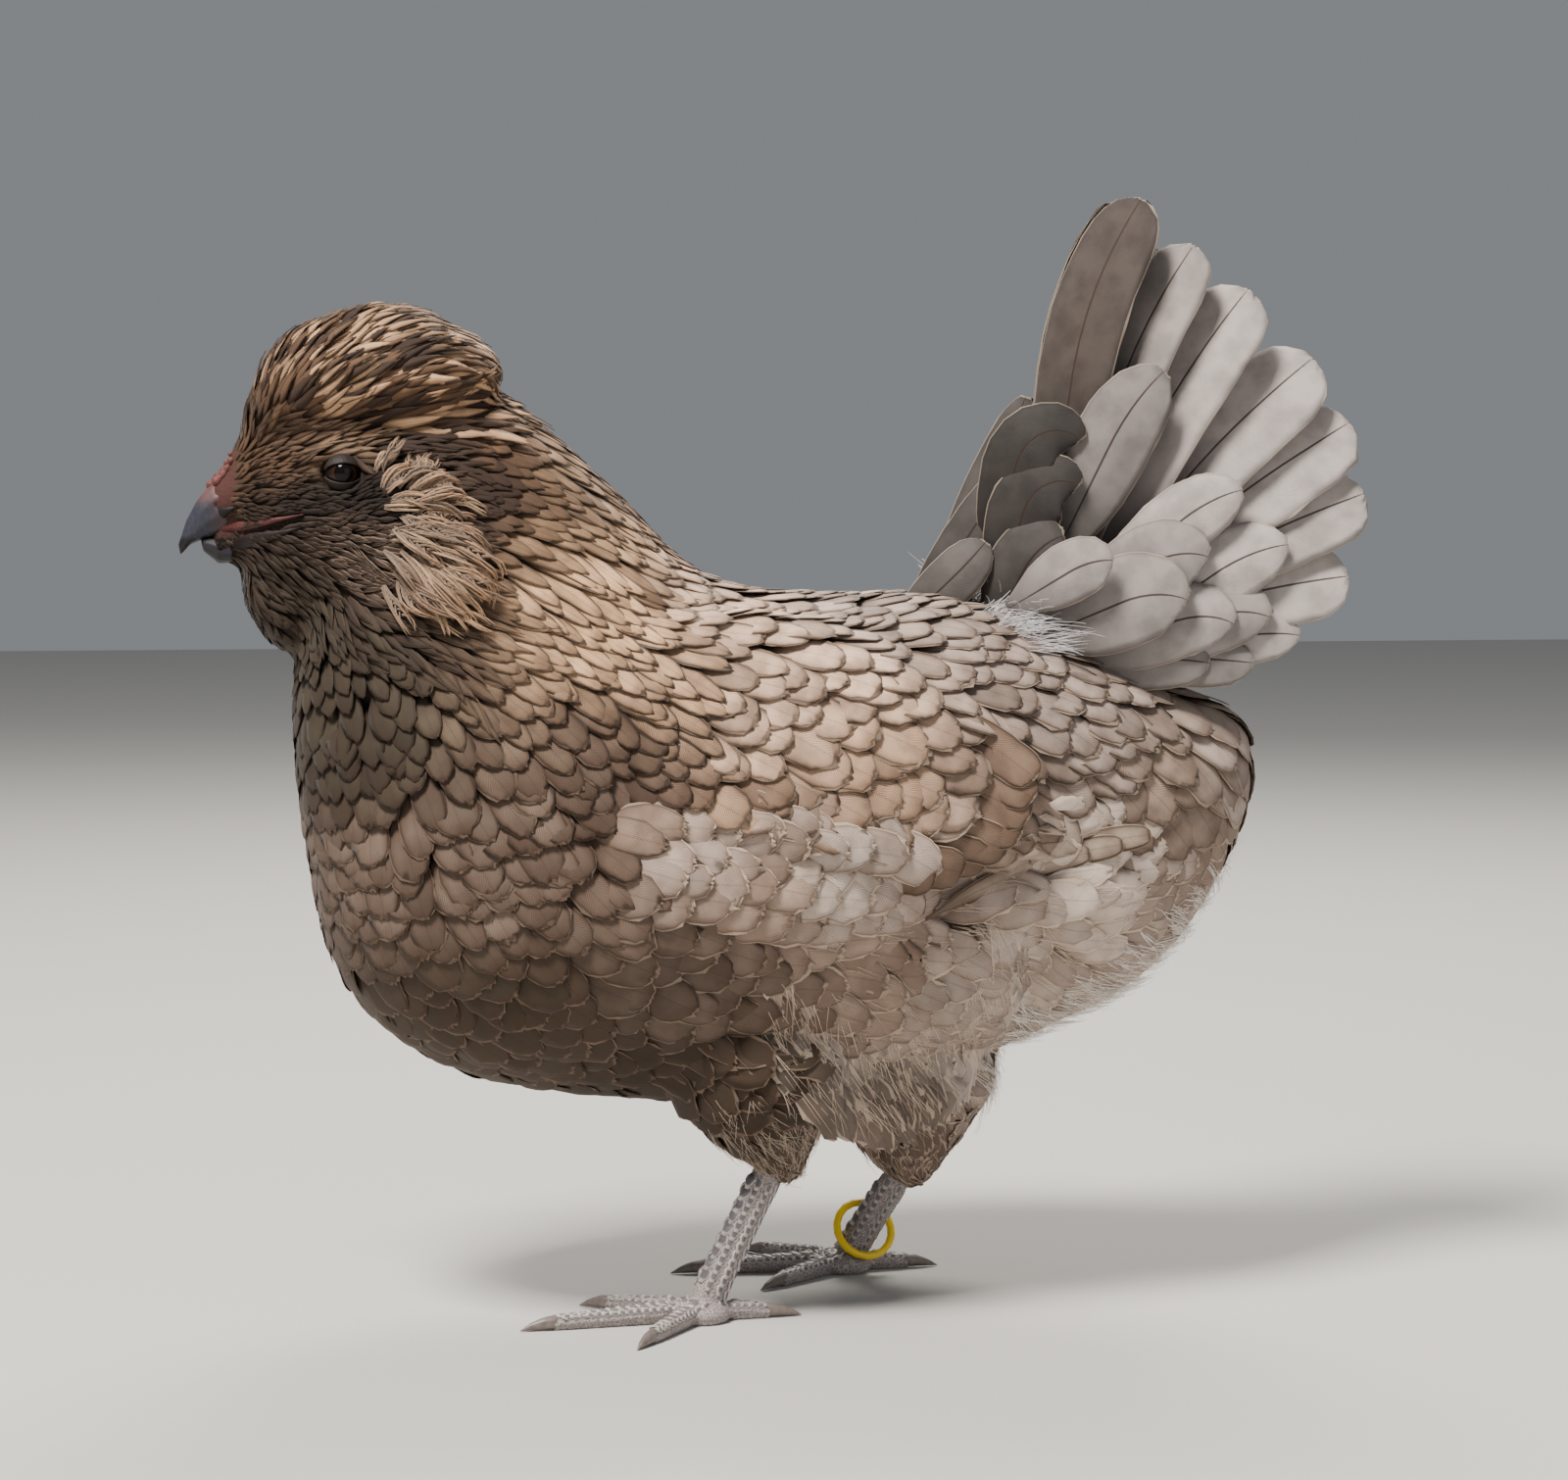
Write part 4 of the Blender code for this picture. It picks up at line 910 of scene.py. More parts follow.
def lay_paths(roots, lie, long, deep, stations, follow=1.0, rise=0.0, bend=2.2, sway=0.0, seed=5):
    """Paths from roots along the lie of the coat. They start in the skin and end in the form's surface."""
    draw = np.random.default_rng(seed)
    rise = np.broadcast_to(rise, len(roots))
    paths = np.empty((len(roots), stations, 3))
    faces = np.empty_like(paths)
    turns = draw.normal(0, sway, len(roots))
    long = long * draw.normal(1, LENGTHS_VARY, len(roots))
    for i, root in enumerate(roots):
        place, normal = FORM.nearest(Vector(root))
        heading = Vector(lie[i])
        heading = (heading - normal * heading.dot(normal)).normalized()
        heading.rotate(Matrix.Rotation(turns[i], 3, normal))
        shares = stops(stations)
        steps = np.diff(shares, append=1.0) * long[i]
        for k, (share, step) in enumerate(zip(shares, steps)):
            height = -deep[i] * (1 - share) ** bend + rise[i] * share
            paths[i, k] = place + normal * height
            faces[i, k] = normal
            ahead = place + heading * step
            found, facing = FORM.nearest(ahead)
            above = max(0.0, (ahead - found).dot(facing)) * (1 - follow)
            place = found + facing * above
            normal = normal.lerp(facing, follow).normalized()
            heading = (heading - normal * heading.dot(normal)).normalized()
    paths[:, 1:-1] = (paths[:, :-2] + 2 * paths[:, 1:-1] + paths[:, 2:]) / 4
    faces = faces + 2 * faces.mean(1, keepdims=True)
    return paths, faces / np.linalg.norm(faces, axis=2, keepdims=True)


def rolled(paths, faces, roll):
    """The facing of each feather turned a little up, so that its upper edge goes under its neighbour's."""
    across = np.cross(np.gradient(paths, axis=1), faces)
    across /= np.linalg.norm(across, axis=2, keepdims=True)
    return faces - roll * across * np.sign(paths[:, :1, :1])


def outside(y, z, side):
    """The place on one side of the bird at a height and a distance along it, with its facing."""
    place, _, _, _ = FORM.tree.ray_cast(Vector((side * BESIDE_THE_BIRD, y, z)), Vector((-side, 0, 0)))
    return FORM.nearest(place or Vector((0, y, z)))


def evened(line, rounds):
    """A path whose distance from the middle of the bird changes smoothly."""
    line = np.array(line)
    for _ in range(rounds):
        line[1:-1, 0] = (line[:-2, 0] + line[1:-1, 0] * 2 + line[2:, 0]) / 4
    return line


print("paths ready")

# %% [markdown]
# No two feathers are quite the same. Width and shade vary from one to the next, and whole patches and
# streaks are a little darker, which smooth noise over the tips gives. Everything else comes from the
# plumage at the root.

# %% Looks of the feathers
PATCH_SIZE, STREAK_SIZE, ELSEWHERE = 26 * MM, 9 * MM, 0.3
PATCH_SHADE, MOST_DARKENED, WIDTHS_VARY = 0.16, 0.75, 0.09


def clouds(points, size):
    """A smooth random value between -1 and 1 at each point, in patches of a given size."""
    return np.array([noise.noise(Vector(point) / size) for point in points])[:, None]


def group_of(paths, faces, coat, thick, tone=None, vary=0.15, patchy=0.35, seed=9):
    """The paths of some feathers with the looks that the plumage has at their roots."""
    draw = np.random.default_rng(seed)
    count = len(paths)
    tips = paths[:, -1]
    shade = 1 + vary * draw.standard_normal((count, 1)) + PATCH_SHADE * clouds(tips, PATCH_SIZE)
    streaks = clouds(tips + ELSEWHERE, STREAK_SIZE) + 0.5 * clouds(tips - ELSEWHERE, PATCH_SIZE)
    darker = np.clip(patchy * streaks, 0, MOST_DARKENED)
    tone = (coat.tone if tone is None else tone) * shade
    tone = tone + (coat.edge - tone) * darker
    wide = coat.wide * (1 + WIDTHS_VARY * draw.standard_normal(count))
    return Group(paths, faces, wide, lengths_of(paths), np.full(count, thick), tone,
                 coat.edge, coat.lacing, coat.pale, coat.soft)


print("patches are", round(PATCH_SIZE / MM), "mm and streaks", round(STREAK_SIZE / MM), "mm wide")

# %% [markdown]
# The body coat is one pattern from throat to rump. The crest, the bare face and the tail have feathers
# of their own, so each of these is bounded here by lines in the side view.

# %% Regions of the plumage
def millimetres(points):
    return points[:, 0] / MM, points[:, 1] / MM, points[:, 2] / MM


def in_crest(points):
    _, y, z = millimetres(points)
    edge = np.interp(y, (-178, -169, -157, -128, -111, -99), (300, 292, 287, 286, 290, 296))
    return (z > edge) & (y < -94)


def in_face(points):
    _, y, z = millimetres(points)
    return (y < -112) & (z > 224 - 0.4 * (y + 150)) & ~in_crest(points)


def in_neck(points):
    _, y, z = millimetres(points)
    return (z > 190 + 0.25 * (y + 150)) & (y < -42) & ~in_crest(points) & ~in_face(points)


def on_body(points):
    return ~in_crest(points) & ~in_face(points)


print("roots allowed on the body:", on_body(points_of(form.data)).sum(), "of", len(form.data.vertices))

# %% [markdown]
# Some places are left free for feathers that come later: the ends of the flight feathers and the top
# rows of the flank. The coverts of the wing must not hang over the wing's lower edge either, so those
# that would are made shorter.

# %% Room for wing and flank
FLIGHT_ENDS = ((66, 178), (66, 170), (62, 160), (54, 155), (42, 152))
FLIGHT_SHOWS = 8.0


def clear_of_flight(tips):
    """False where a feather's tip would lie on the bare ends of the flight feathers."""
    x, y, z = millimetres(tips)
    nearest = np.min([np.hypot(y - end_y, z - end_z) for end_y, end_z in FLIGHT_ENDS], axis=0)
    return (nearest > FLIGHT_SHOWS) | (np.abs(x) < 45)


WING_EDGE = ((-60, 171), (-50, 165), (-24, 160), (7, 156), (34, 153))
FLANK_TOP = ((-58, 165), (-24, 161), (7, 157), (30, 154), (36, 148))
FLANK_LIES = ((-58, -14), (-24, 4), (7, 3), (34, -22))
FLANK_DROPS, FLANK_STEP, FLANK_LONG = (23, 15.5, 8, 0), 10, 28


def trimmed(roots, tips, long):
    """Shorter lengths for wing coverts that would reach past the wing's lower edge."""
    x, y, z = millimetres(tips)
    edge = np.interp(y, *np.array(WING_EDGE).T)
    root_edge = np.interp(roots[:, 1] / MM, *np.array(WING_EDGE).T)
    over = (y > WING_EDGE[0][0]) & (y < WING_EDGE[-1][0]) & (np.abs(x) > 30)
    over &= (roots[:, 2] / MM > root_edge) & (z < edge)
    share = (roots[:, 2] / MM - root_edge) / np.maximum(roots[:, 2] / MM - z, 1)
    return np.where(over, long * np.clip(share + 0.3, 0.5, 1), long)


def clear_of_flank(tips):
    """False where a feather's tip would lie among the top rows of the flank."""
    x, y, z = millimetres(tips)
    below = np.interp(y, *np.array(FLANK_TOP).T) - z
    return (y < -56) | (y > 36) | (below < -2) | (below > 24) | (np.abs(x) < 30)


print("flight feathers show for", FLIGHT_SHOWS, "mm round their ends")

# %% [markdown]
# First each feather is laid roughly to see where its tip would come, and its length is trimmed. Then
# it is laid with care. Random heights at the tips and the small roll make true overlaps.

# %% Grow the body coat
ROLL, TIP_RISE = 0.06, 0.4 * MM
roots = scatter(on_body, closeness=0.9)
coat = coat_at(roots)
first, _ = lay_paths(roots, coat.lie, coat.long, coat.deep, 3, sway=0.08)
coat = coat._replace(long=trimmed(roots, first[:, -1], coat.long))
rises = TIP_RISE * np.random.default_rng(2).random(len(roots))
paths, faces = lay_paths(roots, coat.lie, coat.long, coat.deep, 9, rise=rises, bend=1.8, sway=0.08)
faces = rolled(paths, faces, ROLL)
clear = clear_of_flight(paths[:, -1]) & clear_of_flank(paths[:, -1])
roots, paths, faces, coat = roots[clear], paths[clear], faces[clear], part_of(coat, clear)
patchy = np.interp(roots[:, 1] / MM, (-60, 30), (0.9, 0.35))[:, None]
plumage = group_of(paths, faces, coat, 0.2 * MM, patchy=patchy)
print("feathers of the body coat:", len(roots))

# %% [markdown]
# No mesh should hold too many faces, so the coat is kept as several pieces, cut by place: the neck, the
# front, the two sides and the rear. Neck feathers are narrower ovals with a finer rim.

# %% Cut the coat into pieces
side_x, along_y, _ = millimetres(roots)
collar = in_neck(roots)
PARTS = {
    "neck_feathers": collar,
    "breast_feathers": ~collar & (along_y < -60),
    "left_side_feathers": ~collar & (along_y >= -60) & (along_y < 45) & (side_x > 0),
    "right_side_feathers": ~collar & (along_y >= -60) & (along_y < 45) & (side_x <= 0),
    "rump_feathers": ~collar & (along_y >= 45),
}
NECK_LOOKS, BODY_LOOKS = (4, "oval", NECK_FEATHER, "neck_plumage"), (5, "round", BODY_FEATHER, "body_plumage")
for name, chosen in PARTS.items():
    columns, shape, material, slot = NECK_LOOKS if name == "neck_feathers" else BODY_LOOKS
    dress(feathers(name, part_of(plumage, chosen), columns, shape, 0.035, 0.06), material, slot)

# %% [markdown]
# The top rows of the flank are laid one by one. They billow over the lower edge of the wing, so each feather
# is a smooth curve from a root under the coat to a tip that stands clear of it.

# %% Top of the flank
FLANK_BACK, FLANK_FRONT = 36, -50
FLANK_BILLOWS, FLANK_ROOTED = 1.2, 6


def flank_group(side):
    draw = np.random.default_rng(60)
    paths, faces = [], []
    for row, drop in enumerate(FLANK_DROPS):
        for along in np.arange(FLANK_FRONT, FLANK_BACK, FLANK_STEP):
            tip_y = along + (row % 2) * FLANK_STEP / 2 + draw.normal(0, 1)
            tip_z = np.interp(tip_y, *np.array(FLANK_TOP).T) - drop + draw.normal(0, 1)
            lean = math.radians(np.interp(tip_y, *np.array(FLANK_LIES).T) - 0.4 * drop + draw.normal(0, 5))
            line, facing = [], []
            for share in stops(9):
                back = FLANK_LONG * (1 - share)
                y, z = tip_y - back * math.cos(lean), tip_z - back * math.sin(lean)
                place, normal = outside(y * MM, z * MM, side)
                height = FLANK_BILLOWS + 0.04 * (20 - drop) - FLANK_ROOTED * (1 - share) ** 2
                line.append((place.x + side * height * MM, y * MM, z * MM))
                facing.append((Vector((side, 0, 0)) * 2 + normal).normalized())
            paths.append(evened(line, 6))
            faces.append(facing)
    paths, faces = np.array(paths), np.array(faces)
    return group_of(paths, faces, coat_at(paths[:, 4]), 0.3 * MM)


for name, side in SIDES:
    top = feathers("flank_top_" + name, flank_group(side), 6, "round", 0.1, 0.07)
    dress(top, BODY_FEATHER, "body_plumage")

# %% [markdown]
# The face has the smallest feathers of all, like short fur. They stay clear of the eyes, the bill and
# the corner of the mouth. One that would still lie over the open eye is left out, by an oval that is
# flatter above the eye than below it.

# %% Face plumage
EYE_SPOTS = {name: Vector([sum(pair) / 2 for pair in zip(*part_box("eye_" + name))]) for name, _ in SIDES}
BALL = (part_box("eye_left")[1][1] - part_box("eye_left")[0][1]) / 2
ROOTS_ABOVE, ROOTS_BELOW, OPEN_EYE, EYE_FLATTER = 0.85, 1.12, 1.06, 1.3
MOUTH_FROM, MOUTH_HALF = -158, 2.2


def on_face(points):
    _, y, z = millimetres(points)
    clear = in_face(points) & (y > -181 + 0.19 * (z - 265))
    for spot in EYE_SPOTS.values():
        reach = np.where(z * MM > spot.z, ROOTS_ABOVE, ROOTS_BELOW)
        clear &= np.linalg.norm(points - np.array(spot), axis=1) > BALL * reach
    gape = (np.abs(z - (257.5 + (y + 172) * 0.2)) < MOUTH_HALF) & (y < MOUTH_FROM)
    return clear & ~gape


def off_the_eye(paths):
    """False for a feather that would lie over the open eye."""
    away = (paths - np.array(EYE_SPOTS["left"]))[..., 1:] / BALL
    away[..., 1] *= np.where(away[..., 1] > 0, EYE_FLATTER, 1.0)
    return np.hypot(*away.transpose(2, 0, 1)).min(1) > OPEN_EYE


roots = scatter(on_face, closeness=0.72, seed=4, tries=200000)
coat = coat_at(roots)
coat = coat._replace(wide=coat.wide * 0.62, long=coat.long * 1.3)
paths, faces = lay_paths(roots, coat.lie, coat.long, coat.deep * 0.8, 6, rise=0.35 * MM, sway=0.16)
clear = off_the_eye(paths)
whole = group_of(paths[clear], faces[clear], part_of(coat, clear), 0.14 * MM, vary=0.2, patchy=0.8)
left = roots[clear, 0] > 0
for name, chosen in (("left", left), ("right", ~left)):
    cheek = feathers("face_feathers_" + name, part_of(whole, chosen), 2, "lance", curl=0.06, ragged=0.08)
    dress(cheek, BODY_FEATHER, "neck_plumage", "beard")

# %% [markdown]
# The crest is a cap of narrow feathers that rise from the forehead, arch over the crown and hang free at the
# back. They leave the form a little, so light gets between them. Their tones run in streaks of tan, brown and
# umber. Higher up they are painted lighter, and some on top are painted peach, as a highlight where the light
# falls on the crown.

# %% Crest
CREST_FEATHER = feather_material("crest_feather", barb=0.9, contrast=0.55, rim=(1.4, 0.8))
CREST_STREAK, CREST_LIFT = 7 * MM, 2.2 * MM


def crest_coat(roots):
    x, y, _ = millimetres(roots)
    lies = np.radians(np.interp(y, (-175, -160, -130, -100), (64, 42, 10, -14)))
    return coat_at(roots)._replace(
        lie=np.stack([0.12 * np.sign(x) * np.abs(x / 30), np.cos(lies), np.sin(lies)], 1),
        long=np.interp(y, (-175, -155, -130, -100), (13, 24, 30, 25)) * MM,
        wide=np.interp(y, (-175, -150), (2.2, 3.8)) * MM,
        deep=np.interp(y, (-175, -150), (2.5, 5.0)) * MM,
    )


def crest_tones(roots, draw):
    """One of four tones for each feather, from a mixture of streaks and chance, painted lighter higher up and
    peach on top as a highlight.
    """
    _, y, z = millimetres(roots)
    mixes = 0.5 + 0.9 * clouds(roots * (1.6, 1, 1.6), CREST_STREAK) + draw.normal(0, 0.22, (len(roots), 1))
    # Painted light: the tones get paler higher up, and peach on top as a highlight.
    mixes -= np.clip((z[:, None] - 318) / 20, 0, 0.4)
    highlit_top = ((z > 321) & (y > -142) & (y < -106))[:, None]
    tone = np.where(mixes < 0.4, COLOURS["tan"], COLOURS["brown"])
    tone = np.where((mixes < 0.45) & highlit_top, COLOURS["peach"], tone)
    return np.where(mixes > 0.72, COLOURS["umber"], tone)


roots = scatter(in_crest, closeness=0.5, seed=6, tries=90000)
draw = np.random.default_rng(12)
coat = crest_coat(roots)
lift = CREST_LIFT * draw.random(len(roots)) ** 2
paths, faces = lay_paths(roots, coat.lie, coat.long, coat.deep, 9, follow=0.88, rise=lift, sway=0.13)
crown = group_of(paths, faces, coat, 0.22 * MM, crest_tones(roots, draw), 0.12, 0.7)
dress(feathers("crest_feathers", crown, 2, "lance", 0.06, 0.12), CREST_FEATHER, "crest_plumage", "crest")

# %% [markdown]
# The muffs are plumes of loose barbs behind and below the eye. Each plume has a stem, and hair-thin
# barbs leave it to both sides and bend towards its tip. They hang together only loosely, so each barb
# is a strand of its own.

# %% Loose barbs
BARBS_UP_TO = 0.72


def strand_group(strands, facings, wide, thick, tone, edge, pale=0.5, vary=0.15):
    """Strands as a group, each in a slightly different shade."""
    shades = 1 + vary * np.random.default_rng(3).standard_normal((len(strands), 1))
    tones = np.broadcast_to(tone, (len(strands), 3)) * shades
    return plain_group(strands, facings, wide, thick, tones, edge, 0.2, pale, 1.0)


def placed_at(at, shares, *curves):
    """Each curve read at some shares of its length."""
    return [np.stack([np.interp(at, shares, curve[:, axis]) for axis in range(3)], 1) for curve in curves]


def across_of(guide, facing):
    """The direction across a guide curve, at each of its stations."""
    ahead = np.gradient(guide, axis=0)
    return np.cross(ahead / np.linalg.norm(ahead, axis=1, keepdims=True), facing)


def plume(guide, facing, count, half, draw):
    """Barbs that leave a plume's stem to both sides, one after another, and bend towards its tip."""
    shares = stops(len(guide))
    across = across_of(guide, facing)
    strands = []
    for number in range(count):
        start = BARBS_UP_TO * number / count
        side = (-1 if number % 2 else 1) * half * draw.uniform(0.5, 1.25)
        at = start + (1 - start) * shares * draw.uniform(0.8, 1.0)
        stem, out, up = placed_at(at, shares, guide, across, facing)
        grown = (shares ** 0.8)[:, None]
        curl = math.pi * draw.uniform(0.5, 0.9)
        strands.append(stem + out * side * np.sin(grown * curl) + up * draw.normal(0.3, 0.5) * MM * grown)
    return strands, [facing] * count


# Loose barbs are also painted darker towards their roots, as shade inside the plume.
STRAND = feather_material("loose_barbs", barb=1.6, sheen=0.1, shaft=0.0, contrast=0.25, root=0.9)
print("barbs ready")

# %% [markdown]
# Seventy plumes make a muff. The topmost curl up behind the eye, and those further down turn back and
# hang. Their tones are mixed by chance, the light ones more often than the dark ones.

# %% Muffs
MUFF_TONES = (
    tint(182, 138, 100), tint(158, 116, 84), tint(204, 164, 124), tint(122, 90, 66), tint(86, 62, 48)
)
MUFF_PLUMES, MUFF_BARBS = 70, 14
MUFF_TOP, MUFF_HIGH, MUFF_BACK = (-135, 275), 33, 15
MUFF_DOWN = (0, 0.15, 0.3, 0.5, 1)
MUFF_TURNS, MUFF_ENDS = (70, 40, 4, -14, -30), (92, 34, -30, -62, -50)
MUFF_LONG = ((0, 11), (0.3, 21), (0.6, 30), (1, 27))


def muff_guide(down, back, side, draw):
    """The stem of one plume, by how far down and how far back in the muff it starts."""
    y = (MUFF_TOP[0] + 2 * down + back + draw.normal(0, 1)) * MM
    z = (MUFF_TOP[1] - MUFF_HIGH * down - 0.3 * back + draw.normal(0, 1)) * MM
    place, normal = outside(y, z, side)
    turn = np.interp(down, MUFF_DOWN, MUFF_TURNS) + draw.normal(0, 16)
    end = np.interp(down, MUFF_DOWN, MUFF_ENDS) + draw.normal(0, 20)
    long = np.interp(down, *np.array(MUFF_LONG).T) * draw.uniform(0.7, 1.2) * MM
    lift = draw.uniform(1.0, 5.5)
    guide, facing = [], []
    for share, step in zip(stops(9), np.diff(stops(9), append=1.0) * long):
        rises = lift * math.sin(math.pi * min(1, share * 0.85)) + 0.5 - 2.6 * (1 - share) ** 4
        guide.append(place + normal * rises * MM)
        facing.append(normal)
        angle = math.radians(turn + (end - turn) * share ** 1.3)
        heading = Vector((0, math.cos(angle), math.sin(angle)))
        heading = (heading - normal * heading.dot(normal)).normalized()
        place, normal = FORM.nearest(place + heading * step)
    return np.array(guide), np.array(facing)


def muff_strands(side):
    draw = np.random.default_rng(40 + side)
    strands, facings, tones = [], [], []
    for number in range(MUFF_PLUMES):
        down = (number + draw.random()) / MUFF_PLUMES
        back = MUFF_BACK * draw.random() ** 1.2
        guide, facing = muff_guide(down, back, side, draw)
        more, sides = plume(guide, facing, MUFF_BARBS, draw.uniform(0.8, 2.6) * MM, draw)
        strands += more
        facings += sides
        tones += [MUFF_TONES[min(4, int(draw.random() ** 1.4 * 5))]] * len(more)
    group = strand_group(strands, facings, 0.7 * MM, 0.3 * MM, np.array(tones), tint(70, 50, 38), 0.2, 0.22)
    return group._replace(wide=group.wide * np.random.default_rng(7).uniform(0.5, 1.4, len(strands)))


for name, side in SIDES:
    muff = feathers("muff_plumes_" + name, muff_strands(side), 1, "hair", curl=0.0, ragged=0.0)
    dress(muff, STRAND, "muff_plumage", "muff_" + name)

# %% [markdown]
# Under the coverts lie the flight feathers of the folded wing, stacked like a hand of cards. Only their
# rear ends show, as parallel bands. Each starts under the coverts and ends at its own tip.

# %% Flight feathers
FLIGHT_TIPS = (
    (69.5, 177.5), (69, 171), (67.5, 165), (65, 159.5), (61, 155), (54.5, 151), (46, 148.5), (36, 147.5)
)
FLIGHT_LIES = (-41, -37, -32, -26, -20, -15, -12, -10)
FLIGHT_LONG = 46
PRIMARY_TIPS = ((112, 158), (103, 155), (92, 152.5))
PRIMARY_LONG = 60
FLIGHT_WIDE, PRIMARY_WIDE, FLIGHT_LIFT = 15, 9, 0.24
FLIGHT_FAR, PRIMARY_FAR, WING_FLOOR = 62, 120, 152
FLIGHT_BOWS, FLIGHT_ROOTED, WALL_HIGH, WALL_OUT = 9, 10, (178, 196), (60, 0)


def wing_stack():
    """Tip, lie, length, lift and farthest place on the wing for each feather, the topmost first."""
    count = len(FLIGHT_TIPS)
    stack = [(tip, lie, FLIGHT_LONG, FLIGHT_LIFT * (count - k) + 0.3, FLIGHT_FAR)
             for k, (tip, lie) in enumerate(zip(FLIGHT_TIPS, FLIGHT_LIES))]
    return stack + [(tip, 6 + 2 * k, PRIMARY_LONG, 0.6 - 0.5 * k, PRIMARY_FAR)
                    for k, tip in enumerate(PRIMARY_TIPS)]


def wing_paths(side):
    """The stacked feathers of the folded wing. Each one's shaft is nearly straight and lies flat."""
    paths, faces = [], []
    for (tip_y, tip_z), lie, long, lift, far in wing_stack():
        line, facing = [], []
        for share in stops(17):
            angle = math.radians(lie + FLIGHT_BOWS * (1 - share))
            back = long * (1 - share)
            y, z = (tip_y - back * math.cos(angle)) * MM, (tip_z - back * math.sin(angle)) * MM
            place, normal = outside(min(y, far * MM), max(z, WING_FLOOR * MM), side)
            facing.append((Vector((side, 0, 0)) + normal).normalized())
            wall = np.interp(z / MM, WALL_HIGH, WALL_OUT) * MM
            x = side * (max(abs(place.x), wall) + (lift - FLIGHT_ROOTED * (1 - share) ** 1.1) * MM)
            line.append((x, y, z))
        paths.append(evened(line, 8))
        faces.append(facing)
    return np.array(paths), np.array(faces)


def flight_group(side):
    paths, faces = wing_paths(side)
    folded = np.arange(len(paths)) < len(FLIGHT_TIPS)
    tone = np.where(folded[:, None], tint(134, 111, 95), tint(186, 166, 150))
    wide = np.where(folded, FLIGHT_WIDE, PRIMARY_WIDE) * MM
    return plain_group(paths, faces, wide, 0.4 * MM, tone, COLOURS["umber"], 1.0, 0.3)


for name, side in SIDES:
    flight = feathers("flight_feathers_" + name, flight_group(side), 8, "quill", 0.06, 0.02)
    dress(flight, BODY_FEATHER, "body_plumage", "wing_" + name)

# %% [markdown]
# The tail stands up and spreads like two half-open fans, one on each side. A long feather is placed by
# its angle in the fan and its reach, and seven of them on each side make the fan. The tables say, for
# an angle, how far from the middle the tip comes, how much the vane turns and how the shaft bows.

# %% The fan of the tail
FAN_ROOT = (89.1, 216.0)
FAN_ANGLES = (-25, -5, 14, 27, 38, 48, 61, 71, 78, 100, 115)
FAN_TIP_X = (40, 40, 38, 35, 31, 27, 22, 17, 14, 12, 12)
FAN_TURNS = (0, 4, 9, 15, 22, 30, 38, 44, 44, 40, 36)
FAN_BOWS = (0, 0, 2, 2, 2, 3, 3, 4.5, 6.5, 8, 8)
FAN_SPREAD, FAN_STARTS, FAN_TILT, FAN_STATIONS, FAN_INNER = 110, 12, 7, 17, 6
TAIL_LONG = (
    (77.5, 153, 31), (69.5, 143, 30), (60.5, 137, 34), (47.5, 131, 34),
    (37, 125, 32), (26.5, 116, 29), (14, 101, 27),
)
# The second tone is painted shade, for the front feathers that turn away from the light.
TAIL_TONE_AND_SHADE = (tint(180, 170, 166), tint(74, 66, 62))
TAIL_FEATHER = feather_material(
    "tail_feather", barb=0.7, sheen=0.06, shaft=0.9, contrast=0.18, rim=(1.2, 1.0)
)


def fan_path(side, angle, reach):
    """The path of a long feather, from its angle in the fan in degrees and its reach."""
    root_y, root_z = FAN_ROOT
    line, facing = [], []
    for share in stops(FAN_STATIONS):
        turned = angle + np.interp(angle, FAN_ANGLES, FAN_BOWS) * math.sin(math.pi * share)
        at = FAN_STARTS + (reach - FAN_STARTS) * share
        full = np.interp(turned, FAN_ANGLES, FAN_TIP_X)
        x = FAN_INNER + (full - FAN_INNER) * min(1.0, at / FAN_SPREAD) ** 0.7
        turn, slope = math.radians(np.interp(turned, FAN_ANGLES, FAN_TURNS)), math.radians(turned)
        up = Vector((0, -math.sin(slope), math.cos(slope)))
        line.append(Vector((side * x, root_y + at * math.cos(slope), root_z + at * math.sin(slope))))
        facing.append(Vector((side * math.cos(turn), 0, 0)) + up * math.sin(turn))
    for k, face in enumerate(facing):
        way = line[min(k + 1, FAN_STATIONS - 1)] - line[max(k - 1, 0)]
        face.rotate(Matrix.Rotation(-side * math.radians(FAN_TILT), 3, way))
    return np.array(line) * MM, np.array(facing)


def tail_group(side):
    """The long feathers of one side. The frontmost is painted darkest, as shade where it turns away from the
    light.
    """
    angles, reaches, widths = np.array(TAIL_LONG).T
    paths, faces = zip(*(fan_path(side, angle, reach) for angle, reach in zip(angles, reaches)))
    # Painted shade: the steepest, frontmost feathers get the dark tone.
    dark = np.clip((angles[:, None] - 10) / 66, 0, 1) ** 9
    shade = 1 + 0.07 * np.random.default_rng(len(angles)).standard_normal((len(angles), 1))
    tone = (np.array(TAIL_TONE_AND_SHADE[0]) * (1 - dark) + np.array(TAIL_TONE_AND_SHADE[1]) * dark) * shade
    return plain_group(paths, faces, widths * MM, 0.8 * MM, tone, tone * 0.34, 0.5, 0.3)


def both_sides(group_on):
    """The groups of the left and the right side as one."""
    return Group(*(np.concatenate(values) for values in zip(*(group_on(side) for _, side in SIDES))))


fan = feathers("tail_feathers", both_sides(tail_group), 10, "quill", 0.07, 0.02)
dress(fan, TAIL_FEATHER, "tail_plumage", "tail")
